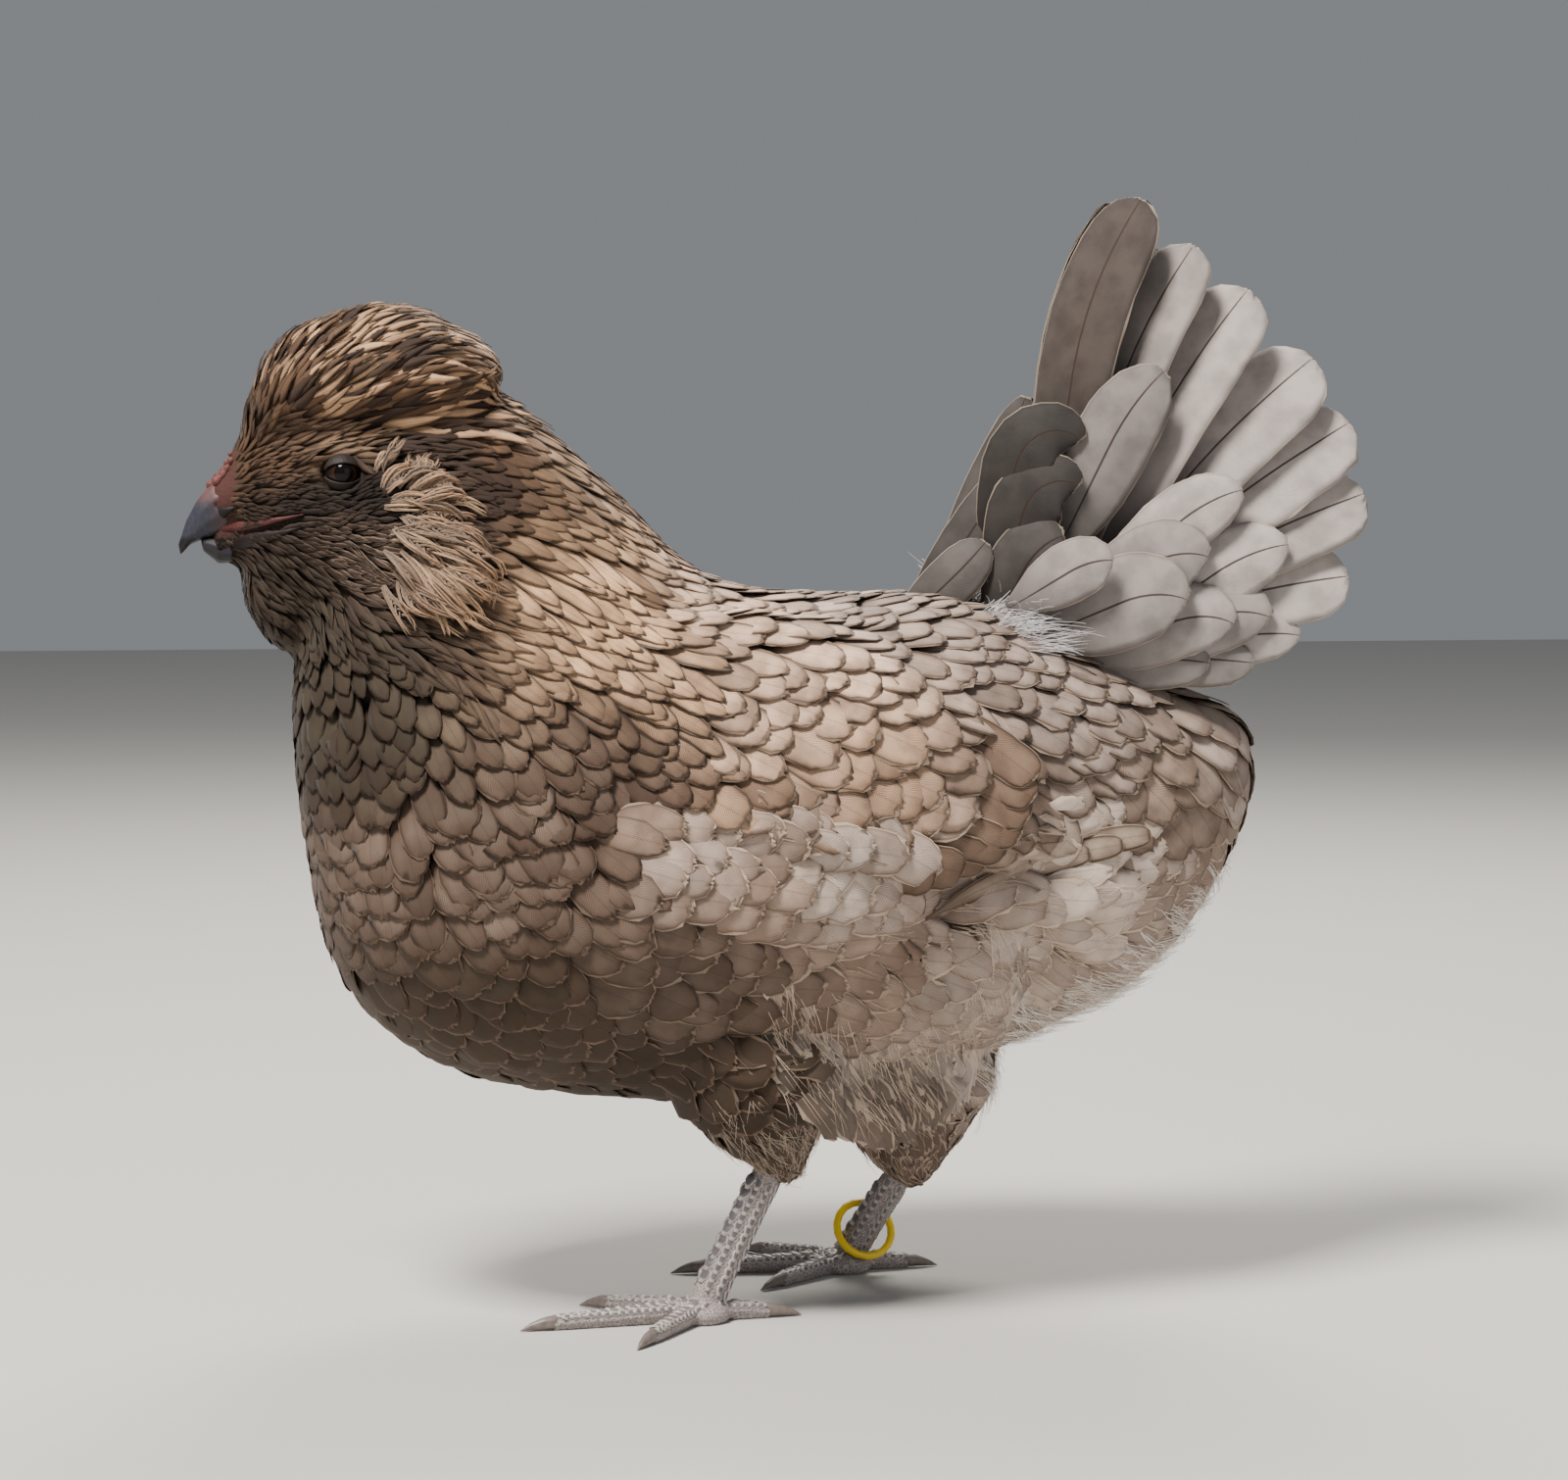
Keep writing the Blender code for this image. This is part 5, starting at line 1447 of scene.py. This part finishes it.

# %% [markdown]
# Shorter coverts lie over the bases of the long feathers and up the front of the tail. Each is given by its
# tip, how it leans there and at its root, its length and width, how far out from the middle it lies, and its
# shade. The shade is painted: the frontmost ones are painted dark, as shade where they face away from the
# light. Those on the right stand a little further back, so they don't show past the front edge of the tail.

# %% Coverts of the tail
Covert = namedtuple("Covert", "tip_y tip_z lean root_lean long wide out shade")
COVERTS = (
    Covert(125, 308, 40, 66, 76, 27, 31, 0.72), Covert(150, 269, 10, 44, 66, 23, 37, 1.0),
    Covert(166, 251, 4, 36, 66, 25, 37, 1.0), Covert(138, 247, -24, 34, 52, 27, 38, 0.85),
    Covert(147, 225, -32, 24, 54, 25, 38, 0.88), Covert(160, 227, -26, 24, 58, 25, 37, 0.82),
    Covert(171, 221, -10, 12, 60, 20, 35, 0.95), Covert(155, 212, -6, -4, 56, 20, 35, 0.7),
    Covert(140, 212, -12, 4, 50, 20, 34, 0.7), Covert(130, 233, -26, 24, 54, 31, 41, 0.85),
    Covert(104, 246, -8, 34, 36, 20, 43, 0.85), Covert(98, 285, -58, 80, 66, 24, 25, 0.28),
    Covert(97, 270, -44, 78, 56, 25, 27, 0.32), Covert(92, 254, 10, 66, 42, 26, 28, 0.38),
    Covert(84, 300, 70, 66, 80, 17, 9, 0.42), Covert(76, 275, 64, 58, 64, 18, 14, 0.42),
    Covert(68, 252, 52, 46, 44, 18, 18, 0.5),
)
SLOPE_BEFORE, RIGHT_BACK = 100, 8
COVERT_BENDS, COVERT_INNER, COVERT_TUCKS = 2.2, 3, 14


def covert_path(covert, side):
    """The path of a covert, drawn backwards from its tip."""
    back = RIGHT_BACK if side < 0 and covert.tip_y < SLOPE_BEFORE else 0
    spot = Vector((side * covert.out, covert.tip_y + back, covert.tip_z))
    line = [spot]
    shares = stops(FAN_STATIONS)
    for share, step in zip(shares[-2::-1], np.diff(shares)[::-1] * covert.long):
        bent = min(1, COVERT_BENDS * (1 - share)) ** 0.8
        angle = math.radians(covert.lean + (covert.root_lean - covert.lean) * bent)
        spot = spot - Vector((0, math.cos(angle), math.sin(angle))) * step
        spot.x = side * max(COVERT_INNER, covert.out - COVERT_TUCKS * (1 - share) ** 1.4)
        line.append(spot)
    face = Vector((side, -0.1 - 0.015 * (44 - covert.out), 0.12)).normalized()
    return np.array(line[::-1]) * MM, [face] * FAN_STATIONS


def covert_group(side):
    paths, faces = zip(*(covert_path(covert, side) for covert in COVERTS))
    columns = np.array(COVERTS).T
    wide, shade = columns[5] * MM, columns[7][:, None]
    vary = 1 + 0.07 * np.random.default_rng(31).standard_normal((len(COVERTS), 1))
    # The shade column darkens each covert as painted shade.
    tone = np.array(TAIL_TONE_AND_SHADE[0]) * shade ** 2 * vary
    return plain_group(paths, faces, wide, 0.5 * MM, tone, tone * 0.3, 0.7, 0.3)


covers = feathers("tail_coverts", both_sides(covert_group), 10, "round", 0.16, 0.015)
dress(covers, TAIL_FEATHER, "tail_plumage", "tail")

# %% [markdown]
# Soft parts have a fringe of fluff: loose strands on the thighs and the vent, a whiter rim along the
# rear and a white patch at the root of the tail. A guide path follows the coat, and a sheaf of strands
# starts together on it and spreads towards the tip.

# %% Sheaves of down
def sheaf(guide, facing, count, splay, spread, draw, wave=0.0):
    """Strands round a guide curve: close at its root, spread at its tip."""
    shares = stops(len(guide))
    across, flat = across_of(guide, facing), shares[:, None]
    strands = []
    for _ in range(count):
        side, up = draw.normal(0, spread, 2)
        opening = draw.normal(0, splay)
        reach = 1 - 0.35 * draw.random()
        line, = placed_at(np.clip(shares * reach, 0, 1), shares, guide)
        bend = wave * draw.normal() * np.sin(math.pi * flat * draw.uniform(0.8, 1.6))
        lifted = up * 0.5 + abs(opening) * 0.3 * flat
        strands.append(line + across * (side + bend + opening * flat ** 1.5) + facing * lifted)
    return strands, [facing] * count


def sheaves(paths, faces, count, splay, spread, draw, wave=0.0):
    """A sheaf round each of many paths."""
    strands, facings = [], []
    for path, face in zip(paths, faces):
        more, sides = sheaf(path, face, count, splay, spread, draw, wave)
        strands += more
        facings += sides
    return strands, facings


def fluff(name, keep, closeness, long, tone, seed, count=5, rise=1.4, dull=1.0, lies=None, sway=0.16,
          splay=2.0, wide=0.3):
    """Fluff where keep() allows it. Lengths are in millimetres, and dull says how brown its edges are."""
    roots = scatter(keep, closeness, seed=seed)
    coat = coat_at(roots)
    if lies is not None:
        lie = (0, math.cos(math.radians(lies)), math.sin(math.radians(lies)))
        coat = coat._replace(lie=np.tile(lie, (len(roots), 1)))
    draw = np.random.default_rng(seed)
    lengths = long * MM * draw.uniform(0.7, 1.2, len(roots))
    paths, faces = lay_paths(roots, coat.lie, lengths, coat.deep * 0.5, 5, follow=0.9, rise=rise * MM,
                             sway=sway, seed=seed)
    strands, facings = sheaves(paths, faces, count, splay * MM, 0.4 * splay * MM, draw, 0.3 * splay * MM)
    edge = np.array(COLOURS["mist"]) * dull + np.array(tone) * (1 - dull)
    group = strand_group(strands, facings, wide * MM, 0.16 * MM, tone, edge, 0.8 * dull)
    dress(feathers(name, group, 1, "hair", 0.0, 0.0, seed), STRAND, "body_plumage")


print("sheaves ready")

# %% [markdown]
# Four patches of the form grow fluff, each bounded by lines in the side view. The down at the tail's
# root stands up the most and points every way.

# %% Fluff
def near_thigh(points):
    _, y, z = millimetres(points)
    return (y > 0) & (y < 150) & (z < 140) & (z > 45)


def at_tail_root(points):
    _, y, z = millimetres(points)
    return ((y - 78) ** 2 + (z - 231) ** 2 < 11 ** 2) & (z > 216)


def rear_rim(points):
    """The lower edge of the rear, where the fringe is whitest."""
    _, y, z = millimetres(points)
    return (y > 66) & (z < 150) & (z < 108 + 0.75 * (y - 80)) & (z > 70)


def front_thigh(points):
    _, y, z = millimetres(points)
    return (y > -34) & (y < 14) & (z < 82) & (z > 38)


fluff("thigh_fluff", near_thigh, 0.9, 20, tint(182, 166, 154), 21, rise=0.2, sway=0.3, wide=0.18)
fluff("rear_fringe", rear_rim, 0.8, 24, tint(232, 228, 222), 23, count=7, rise=3, dull=0.2, lies=-30)
# The down of the front thigh is darker, painted as the shade under the belly.
fluff("front_thigh_down", front_thigh, 0.7, 14, tint(112, 102, 94), 24, count=7, rise=1.0, dull=0.5,
      lies=-58, wide=0.22)
fluff("tail_root_down", at_tail_root, 0.38, 16, tint(222, 224, 232), 22, count=11, rise=8, dull=0.2,
      lies=-14, sway=0.9, splay=8, wide=0.2)

# %% [markdown]
# A skirt of soft feathers hangs from the flank over the thigh. Its tips lie along a rounded edge and
# lean at different angles. Each feather bulges a little and tucks in at its tip, and a few fine hairs
# run with it, so the edge of the skirt looks loose.

# %% Skirt over the thigh
SKIRT_ENDS = ((-4, 82), (4, 72), (14, 62), (32, 55), (54, 64), (66, 80), (75, 96))
SKIRT_LONG, SKIRT_STEP, SKIRT_HIGHS, SKIRT_HANGS_FROM = 30, 1.4, (0, 6, 13, 21), 84
SKIRT_LEAN, SKIRT_STEEPER, SKIRT_ROOTED, SKIRT_TUCKS = -50, 30, 5, 4


def skirt(side):
    """Feathers that hang from the flank in front of the other leg, with tips along a rounded edge."""
    draw = np.random.default_rng(80 + side)
    strands, facings = [], []
    for y in np.arange(SKIRT_ENDS[0][0], SKIRT_ENDS[-1][0], SKIRT_STEP):
        for high in SKIRT_HIGHS:
            tip_y = y + draw.normal(0, 1.5)
            tip_z = np.interp(tip_y, *np.array(SKIRT_ENDS).T) + high + draw.normal(0, 2)
            long = SKIRT_LONG * draw.uniform(0.8, 1.1)
            lean = math.radians(SKIRT_LEAN - SKIRT_STEEPER * draw.random())
            line, facing = [], []
            for share in stops(7):
                back = long * (1 - share)
                spot_y = tip_y - back * math.cos(lean)
                spot_z = tip_z - back * math.sin(lean)
                place, normal = outside(spot_y * MM, max(spot_z, SKIRT_HANGS_FROM) * MM, side)
                tuck = 1 - SKIRT_ROOTED * (1 - share) ** 2 - SKIRT_TUCKS * share ** 3
                line.append((place.x + side * tuck * MM, spot_y * MM, spot_z * MM))
                facing.append((Vector((side, 0, 0)) * 1.5 + normal).normalized())
            strands.append(line)
            facings.append(facing)
    return np.array(strands), np.array(facings)


def skirt_groups(side):
    """The feathers of one skirt and the hairs that run with them."""
    strands, facings = skirt(side)
    coat = coat_at(strands[:, 3])
    soft = strand_group(strands, facings, 9 * MM, 0.16 * MM, coat.tone, coat.tone * 0.6, 0.4, 0.08)
    hairs, sides = sheaves(strands, facings, 3, 2.2 * MM, 0.9 * MM, np.random.default_rng(90))
    fine = strand_group(hairs, sides, 0.24 * MM, 0.16 * MM, tint(182, 166, 154), COLOURS["lilac"], 0.7)
    return soft, fine


for name, side in SIDES:
    soft, fine = skirt_groups(side)
    dress(feathers("skirt_feathers_" + name, soft, 4, "oval", 0.06, 0.16), BODY_FEATHER, "body_plumage")
    dress(feathers("skirt_hairs_" + name, fine, 1, "hair", 0.0, 0.0), STRAND, "body_plumage")

# %% [markdown]
# An eye is a ball in a socket. Iris and pupil are painted on it, by how far a point looks away from
# the middle of the gaze, which is stored at each vertex. The front of the ball bulges a little, and a
# smooth wet coat gives it a sharp highlight.

# %% Eyeballs
BULGE_FROM, BULGE = 0.72, 0.5 * MM


def looking(bm, name, looks):
    """Turns a shape made round the origin to look outwards, and moves it to its eye."""
    turn = looks.to_track_quat("Z", "Y").to_matrix().to_4x4()
    bmesh.ops.transform(bm, matrix=Matrix.Translation(EYE_SPOTS[name]) @ turn, verts=bm.verts)


def eye_ball(name, looks):
    bm = bmesh.new()
    bmesh.ops.create_uvsphere(bm, u_segments=40, v_segments=28, radius=BALL)
    for vertex in bm.verts:
        share = vertex.co.z / BALL
        if share > BULGE_FROM:
            vertex.co.z += BULGE * ((share - BULGE_FROM) / (1 - BULGE_FROM)) ** 0.7
    gaze = np.array([v.co.z / BALL for v in bm.verts])
    looking(bm, name, looks)
    mesh = mesh_of("eyeball", bm)
    paint(mesh, "gaze", np.stack([gaze, gaze * 0, gaze * 0], 1))
    mesh.shade_smooth()
    return show("eyeball_" + name, mesh)


def eye_material():
    shader = Shader("wet_eye", roughness=0.04, Specular_IOR_Level=0.1, Coat_Weight=0.1, Coat_Roughness=0.02)
    gaze = shader.split("gaze")[0]
    iris = shader.mix(shader.noise(1500, 3), tint(34, 21, 14), tint(62, 36, 22))
    ring = shader.mix(shader.ramp(gaze, 0.70, 0.76), (0.012, 0.008, 0.007), iris)
    colour = shader.mix(shader.ramp(gaze, 0.83, 0.86), ring, (0.004, 0.003, 0.003))
    shader.put(shader.surface, Base_Color=colour)
    return shader.material


EYE_WET = eye_material()
print("an eye is", round(2 * BALL / MM, 1), "mm across")

# %% [markdown]
# Two lids close over the ball from above and below. A lid is a slice of a slightly larger ball: one
# plane cuts off the back, another opens it like a visor, and solidify gives it its thickness. The
# gaze goes straight out from the face.

# %% Lids and both eyes
LID_GROWS, LID_BACK, LID_THICK = 1.07, 0.28, 0.55 * MM
LID_CUTS = {"upper": ((0, 0.46, 0.8), (0, -0.86, 0.5)), "lower": ((0, -0.5, 0.8), (0, 0.86, 0.5))}


def lid(which, name, looks):
    bm = bmesh.new()
    bmesh.ops.create_uvsphere(bm, u_segments=48, v_segments=32, radius=BALL * LID_GROWS)
    centre, slope = LID_CUTS[which]
    for place, way in (((0, 0, LID_BACK), (0, 0, -1)), (centre, slope)):
        everything = bm.verts[:] + bm.edges[:] + bm.faces[:]
        bmesh.ops.bisect_plane(bm, geom=everything, plane_co=Vector(place) * BALL, plane_no=way,
                               clear_outer=True)
    bmesh.ops.solidify(bm, geom=bm.faces[:], thickness=-LID_THICK)
    looking(bm, name, looks)
    bmesh.ops.recalc_face_normals(bm, faces=bm.faces)
    mesh = mesh_of("lid", bm)
    mesh.shade_smooth()
    return show(which + "_lid_" + name, mesh)


def bare_skin(name, first, second, scale=900, strength=0.5):
    """Skin without feathers: two tones in a soft mixture, and a grain of small cells."""
    shader = Shader(name, roughness=0.6, Specular_IOR_Level=0.25)
    cells = shader.add("TexVoronoi", None, Vector=shader.here(), Scale=scale).outputs[0]
    shader.put(shader.surface, Base_Color=shader.mix(shader.noise(300, 3), first, second))
    shader.bump(cells, strength, 0.25 * MM)
    return shader.material


LID_SKIN = bare_skin("lid_skin", tint(24, 19, 18), tint(42, 33, 30), 1600)
for name, side in SIDES:
    _, looks = outside(EYE_SPOTS[name].y, EYE_SPOTS[name].z, side)
    dress(eye_ball(name, looks), EYE_WET, "eye", "eye_" + name)
    for which in LID_CUTS:
        dress(lid(which, name, looks), LID_SKIN, "scaled_skin")

# %% [markdown]
# The bill is horn over bone, slate with a paler ridge, and pinker where it leaves the face. Its underside is
# painted near black as the shade beneath it, and the lower half is dark horn with the same painted shade. A
# smoothed copy of the solid bill keeps its place. Its cutting edge drops a little towards the face, so the
# mouth line runs back and up to the corner, and the lower half rises to meet the upper one at the tip.

# %% Bill
EDGE_DROP, EDGE_CLOSES = 3.2, 1.6
BILL_BACK, BILL_TIP, BILL_TOP, BILL_LOW = -178, -194, 264, 243


def smooth_copy(node, voxel, rounds):
    made = remeshed(copy_of((node,), node + "_smooth"), voxel, rounds)
    made.data.shade_smooth()
    return made


def drop_edge(made, above):
    """Lowers the cutting edge towards the face. Above it the bill stretches, and below it moves."""
    points = points_of(made.data)
    _, y, z = millimetres(points)
    towards_face = np.clip((y - BILL_TIP) / (BILL_BACK - BILL_TIP), 0, 1)
    share = np.clip((BILL_TOP - z) / 8, 0, 1) if above else np.clip((z - BILL_LOW) / 12, 0.3, 1)
    points[:, 2] -= EDGE_DROP * MM * towards_face * share
    if not above:
        points[:, 2] += EDGE_CLOSES * MM * (1 - towards_face)
    move_points(made.data, points)
    return made


def bill_material():
    shader = Shader("bill_horn", roughness=0.5, Specular_IOR_Level=0.3)
    _, y, z = shader.split(shader.here())
    grain = shader.noise(700, 3)
    drift = shader.times(grain, 3 * MM)
    horn = shader.mix(grain, tint(26, 27, 35), tint(56, 57, 69))
    root = shader.ramp(shader.plus(y, drift), -184.5 * MM, -178 * MM)
    ridge = shader.ramp(shader.plus(z, drift), 264 * MM, 270 * MM)
    # The underside is painted near black, as shade under the bill.
    shaded_under = shader.ramp(z, 254.5 * MM, 252.5 * MM)
    colour = shader.mix(ridge, shader.mix(root, horn, tint(62, 48, 50)), tint(88, 62, 62))
    shader.put(shader.surface, Base_Color=shader.mix(shaded_under, colour, tint(19, 17, 20)))
    shader.bump(grain, 0.25, 0.2 * MM)
    return shader.material


BILL_HORN = bill_material()
# The lower half: dark horn, painted darker still as the shade under the upper bill.
BILL_SHADED_UNDER = bare_skin("bill_under_shaded", tint(22, 20, 24), tint(40, 38, 44), 900, 0.2)
for node, horn, above in (("bill_upper", BILL_HORN, True), ("bill_lower", BILL_SHADED_UNDER, False)):
    dress(drop_edge(smooth_copy(node, 0.5 * MM, 3), above), horn, "horn", node)

# %% [markdown]
# A small comb of rounded beads sits on the root of the bill, in three rows. The beads are balls that
# get smaller towards the crown, fused and smoothed.

# %% Comb
COMB_FRONT, COMB_STEP, COMB_BEAD = (-181, 269), (1.6, 2.5), 1.7
COMB_ROWS = ((0, 5, 0), (2.3, 4, 0.4), (-2.3, 4, 0.4))
RED_SKIN = bare_skin("red_skin", tint(108, 60, 57), tint(72, 42, 40), 1400, 0.4)


def comb_beads():
    bm = bmesh.new()
    for x, count, ahead in COMB_ROWS:
        for k in range(count):
            at = k + ahead
            spot = Vector((x, COMB_FRONT[0] + COMB_STEP[0] * at, COMB_FRONT[1] + COMB_STEP[1] * at)) * MM
            place, normal = FORM.nearest(spot)
            bead = Matrix.Translation(place + normal * 0.2 * MM)
            bmesh.ops.create_icosphere(bm, subdivisions=3, radius=COMB_BEAD * (1 - 0.1 * k) * MM, matrix=bead)
    made = remeshed(show("comb", mesh_of("comb", bm)), 0.45 * MM, 3)
    made.data.shade_smooth()
    return made


dress(comb_beads(), RED_SKIN, "scaled_skin")

# %% [markdown]
# Soft ridges of bare skin frame the bill: the flap over the nostril, painted near black as the shade in its
# opening, the red edge of the mouth, and its dark corner, dark red skin with the painted shadow of the mouth
# cleft. Each is bent from the same template as a feather, along a few places on the face.

# %% Nostril and mouth
RIDGE_SINKS = 0.1 * MM
RIDGES = (
    # The nostril is painted near black, as shade in its opening.
    ("nostril", ((-182.4, 260.6), (-180.4, 261.6), (-178.2, 262.6), (-176, 263.4)), 4.2, 2.2,
     bare_skin("nostril_shade_skin", tint(14, 11, 12), tint(24, 18, 20), 1400, 0.2)),
    ("mouth_edge", ((-180.5, 256.5), (-175, 257.3), (-169, 258.4), (-162, 259.8), (-156, 261)), 3.4, 1.0,
     bare_skin("mouth_skin", tint(92, 48, 46), tint(54, 31, 30), 1100, 0.8)),
    # The mouth corner is dark red skin, painted darker as the shadow of the mouth cleft.
    ("mouth_corner", ((-177, 251.5), (-172, 252.8), (-167, 254), (-162, 255.4), (-157, 256.8)), 4.6, 0.9,
     bare_skin("mouth_corner_shaded_skin", tint(36, 22, 22), tint(16, 12, 12), 1400, 0.4)),
)


def ridge(name, spots, wide, thick, material):
    """A soft ridge along the face through some places, on both sides."""
    paths, faces = [], []
    for _, side in SIDES:
        found = [outside(y * MM, z * MM, side) for y, z in spots]
        paths.append([place - normal * RIDGE_SINKS for place, normal in found])
        faces.append([normal for _, normal in found])
    tone = tint(170, 100, 92)
    group = plain_group(paths, faces, wide * MM, thick * MM, tone, tone)
    piece = dress(feathers(name, group, 4, "lip", 0.25, 0.0), material, "scaled_skin")
    piece.data.shade_smooth()


for row in RIDGES:
    ridge(*row)

# %% [markdown]
# The legs and toes are smooth cores with horny plates on them. The cores are smoothed copies of the
# solid ones, with fine cells of skin. They grow a little before the remesh and shrink back after it,
# which closes the gaps between shank and toes.

# %% Cores of the legs
LEG_GROWS = 0.3 * MM


def leg_skin_material():
    shader = Shader("leg_skin", roughness=0.55, Specular_IOR_Level=0.35)
    edges = {"feature": "DISTANCE_TO_EDGE"}
    cells = shader.add("TexVoronoi", edges, Vector=shader.here(), Scale=820).outputs[0]
    seam = shader.ramp(cells, 0.02, 0.14)
    tone = shader.mix(shader.noise(160, 3), tint(138, 126, 124), tint(110, 102, 104))
    shader.put(shader.surface, Base_Color=shader.mix(seam, tint(168, 158, 154), tone))
    shader.bump(seam, 0.5, 0.2 * MM)
    return shader.material


def leg_core(name):
    """The shank and the four toes as one skin."""
    nodes = ["shank_" + name] + [f"toe_{name}_{k}" for k in (1, 2, 3, 4)]
    made = copy_of(nodes, "leg_" + name)
    move_points(made.data, points_of(made.data) + points_of(made.data, "normal") * LEG_GROWS)
    made = remeshed(made, 0.6 * MM, 3)
    move_points(made.data, points_of(made.data) - points_of(made.data, "normal") * LEG_GROWS)
    made.data.shade_smooth()
    return dress(made, LEG_SKIN, "scaled_skin", *nodes)


LEG_SKIN = leg_skin_material()
LEG_CORES = {name: Surface(leg_core(name).data) for name, _ in SIDES}

# %% [markdown]
# A plate is horn with a pale rim all round. The material finds the distance to the nearest edge of the
# plate from the same coordinates that a feather carries.

# %% Horn of the plates
def plate_material():
    shader = Shader("leg_plate", roughness=0.42, Specular_IOR_Level=0.45)
    across, along, _ = shader.split("vane")
    wide, long, _ = shader.split("size")
    from_side = shader.times(shader.times(wide, 0.5), shader.minus(1.0, shader.math("ABSOLUTE", across)))
    from_tip = shader.times(shader.minus(1.0, along), long)
    from_root = shader.minus(shader.times(along, long), 0.4)
    from_edge = shader.math("MINIMUM", from_side, shader.math("MINIMUM", from_tip, from_root))
    rim = shader.ramp(from_edge, 0.75, 0.15)
    grain = shader.noise(600, 3)
    tone = shader.mix(grain, shader.attribute("tint")["Color"], tint(116, 108, 110))
    shader.put(shader.surface, Base_Color=shader.mix(rim, tone, shader.attribute("rim")["Color"]))
    shader.bump(grain, 0.2, 0.15 * MM)
    return shader.material


LEG_PLATE = plate_material()
print("plate material ready")

# %% [markdown]
# Plates run in rows. Down the leg there are two rows of large ovals in front, two of smaller ones
# behind, and small ones between. Along a toe one row of broad plates lies on top and a small one on
# each side. A ray from outside towards the middle line finds where each plate sits.

# %% Leg plates
LEG_LINES = {"left": ((33, -6.4, 54), (32, -28.5, 9)), "right": ((-26, 51.5, 42), (-36, 34, 9))}
LEG_ROWS = ((-27, 4.9, 4.2), (27, 4.9, 4.2), (70, 3.0, 3.0), (-70, 3.0, 3.0),
            (112, 2.8, 3.0), (-112, 2.8, 3.0), (153, 3.6, 3.8), (-153, 3.6, 3.8))
TOE_LINES = ((180, 34), (-40, 46), (5, 60), (55, 48))
TOE_HUBS = {"left": (32, -30.9), "right": (-36, 32.1)}
TOE_ROWS = ((0, 5.4, 3.3), (58, 2.6, 2.6), (-58, 2.6, 2.6))
TOE_MIDDLE, TOE_STARTS, TOE_STOPS = 3.4, 4, 7
PLATE_STATIONS, PLATE_OVERLAPS, RAY_FROM, CORE_REACH = 5, 1.35, 30 * MM, 12 * MM
PLATE_CLEARS, PLATE_RISES = 0.1, 0.45
LEG_TONE, TOE_TONE, PLATE_RIM = tint(62, 60, 70), tint(92, 84, 88), tint(176, 168, 164)


def plate_row(core, start, end, ahead_of, turned, wide, step):
    """Places for one row of plates on a core, along the line from start to end."""
    way = (end - start).normalized()
    out = (ahead_of - way * ahead_of.dot(way)).normalized()
    out.rotate(Matrix.Rotation(math.radians(turned), 3, way))
    rows = []
    for k in range(int((end - start).length / (step * MM))):
        line = []
        for share in np.linspace(0, 1, PLATE_STATIONS):
            middle = start + way * (k + PLATE_OVERLAPS * share + (0.5 if turned > 0 else 0)) * step * MM
            place, _, _, _ = core.tree.ray_cast(middle + out * RAY_FROM, -out)
            if place is None or (place - middle).length > CORE_REACH:
                break
            line.append(place + out * (PLATE_CLEARS + PLATE_RISES * share) * MM)
        if len(line) == PLATE_STATIONS:
            rows.append((line, [out] * PLATE_STATIONS, wide))
    return rows


def leg_plates(name, side):
    """All plates of one leg, those of the shank first."""
    start, end = (Vector(spot) * MM for spot in LEG_LINES[name])
    rows = []
    for turned, wide, step in LEG_ROWS:
        rows += plate_row(LEG_CORES[name], start, end, Vector((0, -1, 0)), turned, wide, step)
    tones = [LEG_TONE] * len(rows)
    hub = Vector((*TOE_HUBS[name], TOE_MIDDLE)) * MM
    for turn, long in TOE_LINES:
        angle = math.radians(turn) * side
        way = Vector((math.sin(angle), -math.cos(angle), 0))
        start, end = hub + way * TOE_STARTS * MM, hub + way * (long - TOE_STOPS) * MM
        for turned, wide, step in TOE_ROWS:
            rows += plate_row(LEG_CORES[name], start, end, Vector((0, 0, 1)), turned, wide, step)
    tones += [TOE_TONE] * (len(rows) - len(tones))
    paths, faces, wide = zip(*rows)
    return plain_group(paths, faces, np.array(wide) * MM, 0.5 * MM, np.array(tones), PLATE_RIM)


for name, side in SIDES:
    plates = feathers("leg_plates_" + name, leg_plates(name, side), 4, "plate", 0.3, 0.02)
    dress(plates, LEG_PLATE, "scaled_skin")

# %% [markdown]
# Claws are plain horn and the ring round one leg is yellow plastic. Both are smoothed copies of the
# solid ones. The smoothing eats a little off a thin claw, so it is grown again from its tip.

# %% Claws and ring
CLAW_GROWS = 1.16


def plain_material(name, first, second, roughness, scale, strength):
    shader = Shader(name, roughness=roughness)
    grain = shader.noise(scale, 3)
    shader.put(shader.surface, Base_Color=shader.mix(grain, first, second))
    shader.bump(grain, strength, 0.2 * MM)
    return shader.material


CLAW_HORN = plain_material("claw_horn", tint(78, 70, 70), tint(132, 120, 112), 0.4, 500, 0.3)
for name, _ in SIDES:
    for k in (1, 2, 3, 4):
        node = f"claw_{name}_{k}"
        claw = smooth_copy(node, 0.4 * MM, 3)
        points = points_of(claw.data)
        hub = np.array((*TOE_HUBS[name], 0)) * MM
        tip = points[np.linalg.norm(points - hub, axis=1).argmax()]
        move_points(claw.data, tip + (points - tip) * CLAW_GROWS)
        dress(claw, CLAW_HORN, "horn", node)

RING_PLASTIC = plain_material("ring_plastic", tint(236, 196, 16), tint(246, 212, 40), 0.35, 120, 0.05)
dress(smooth_copy("leg_ring", 0.35 * MM, 6), RING_PLASTIC, "leg_ring", "leg_ring")

# %% [markdown]
# The hidden form has done its work and is removed, and the scene is finished.

# %% Finish
bpy.data.objects.remove(form)
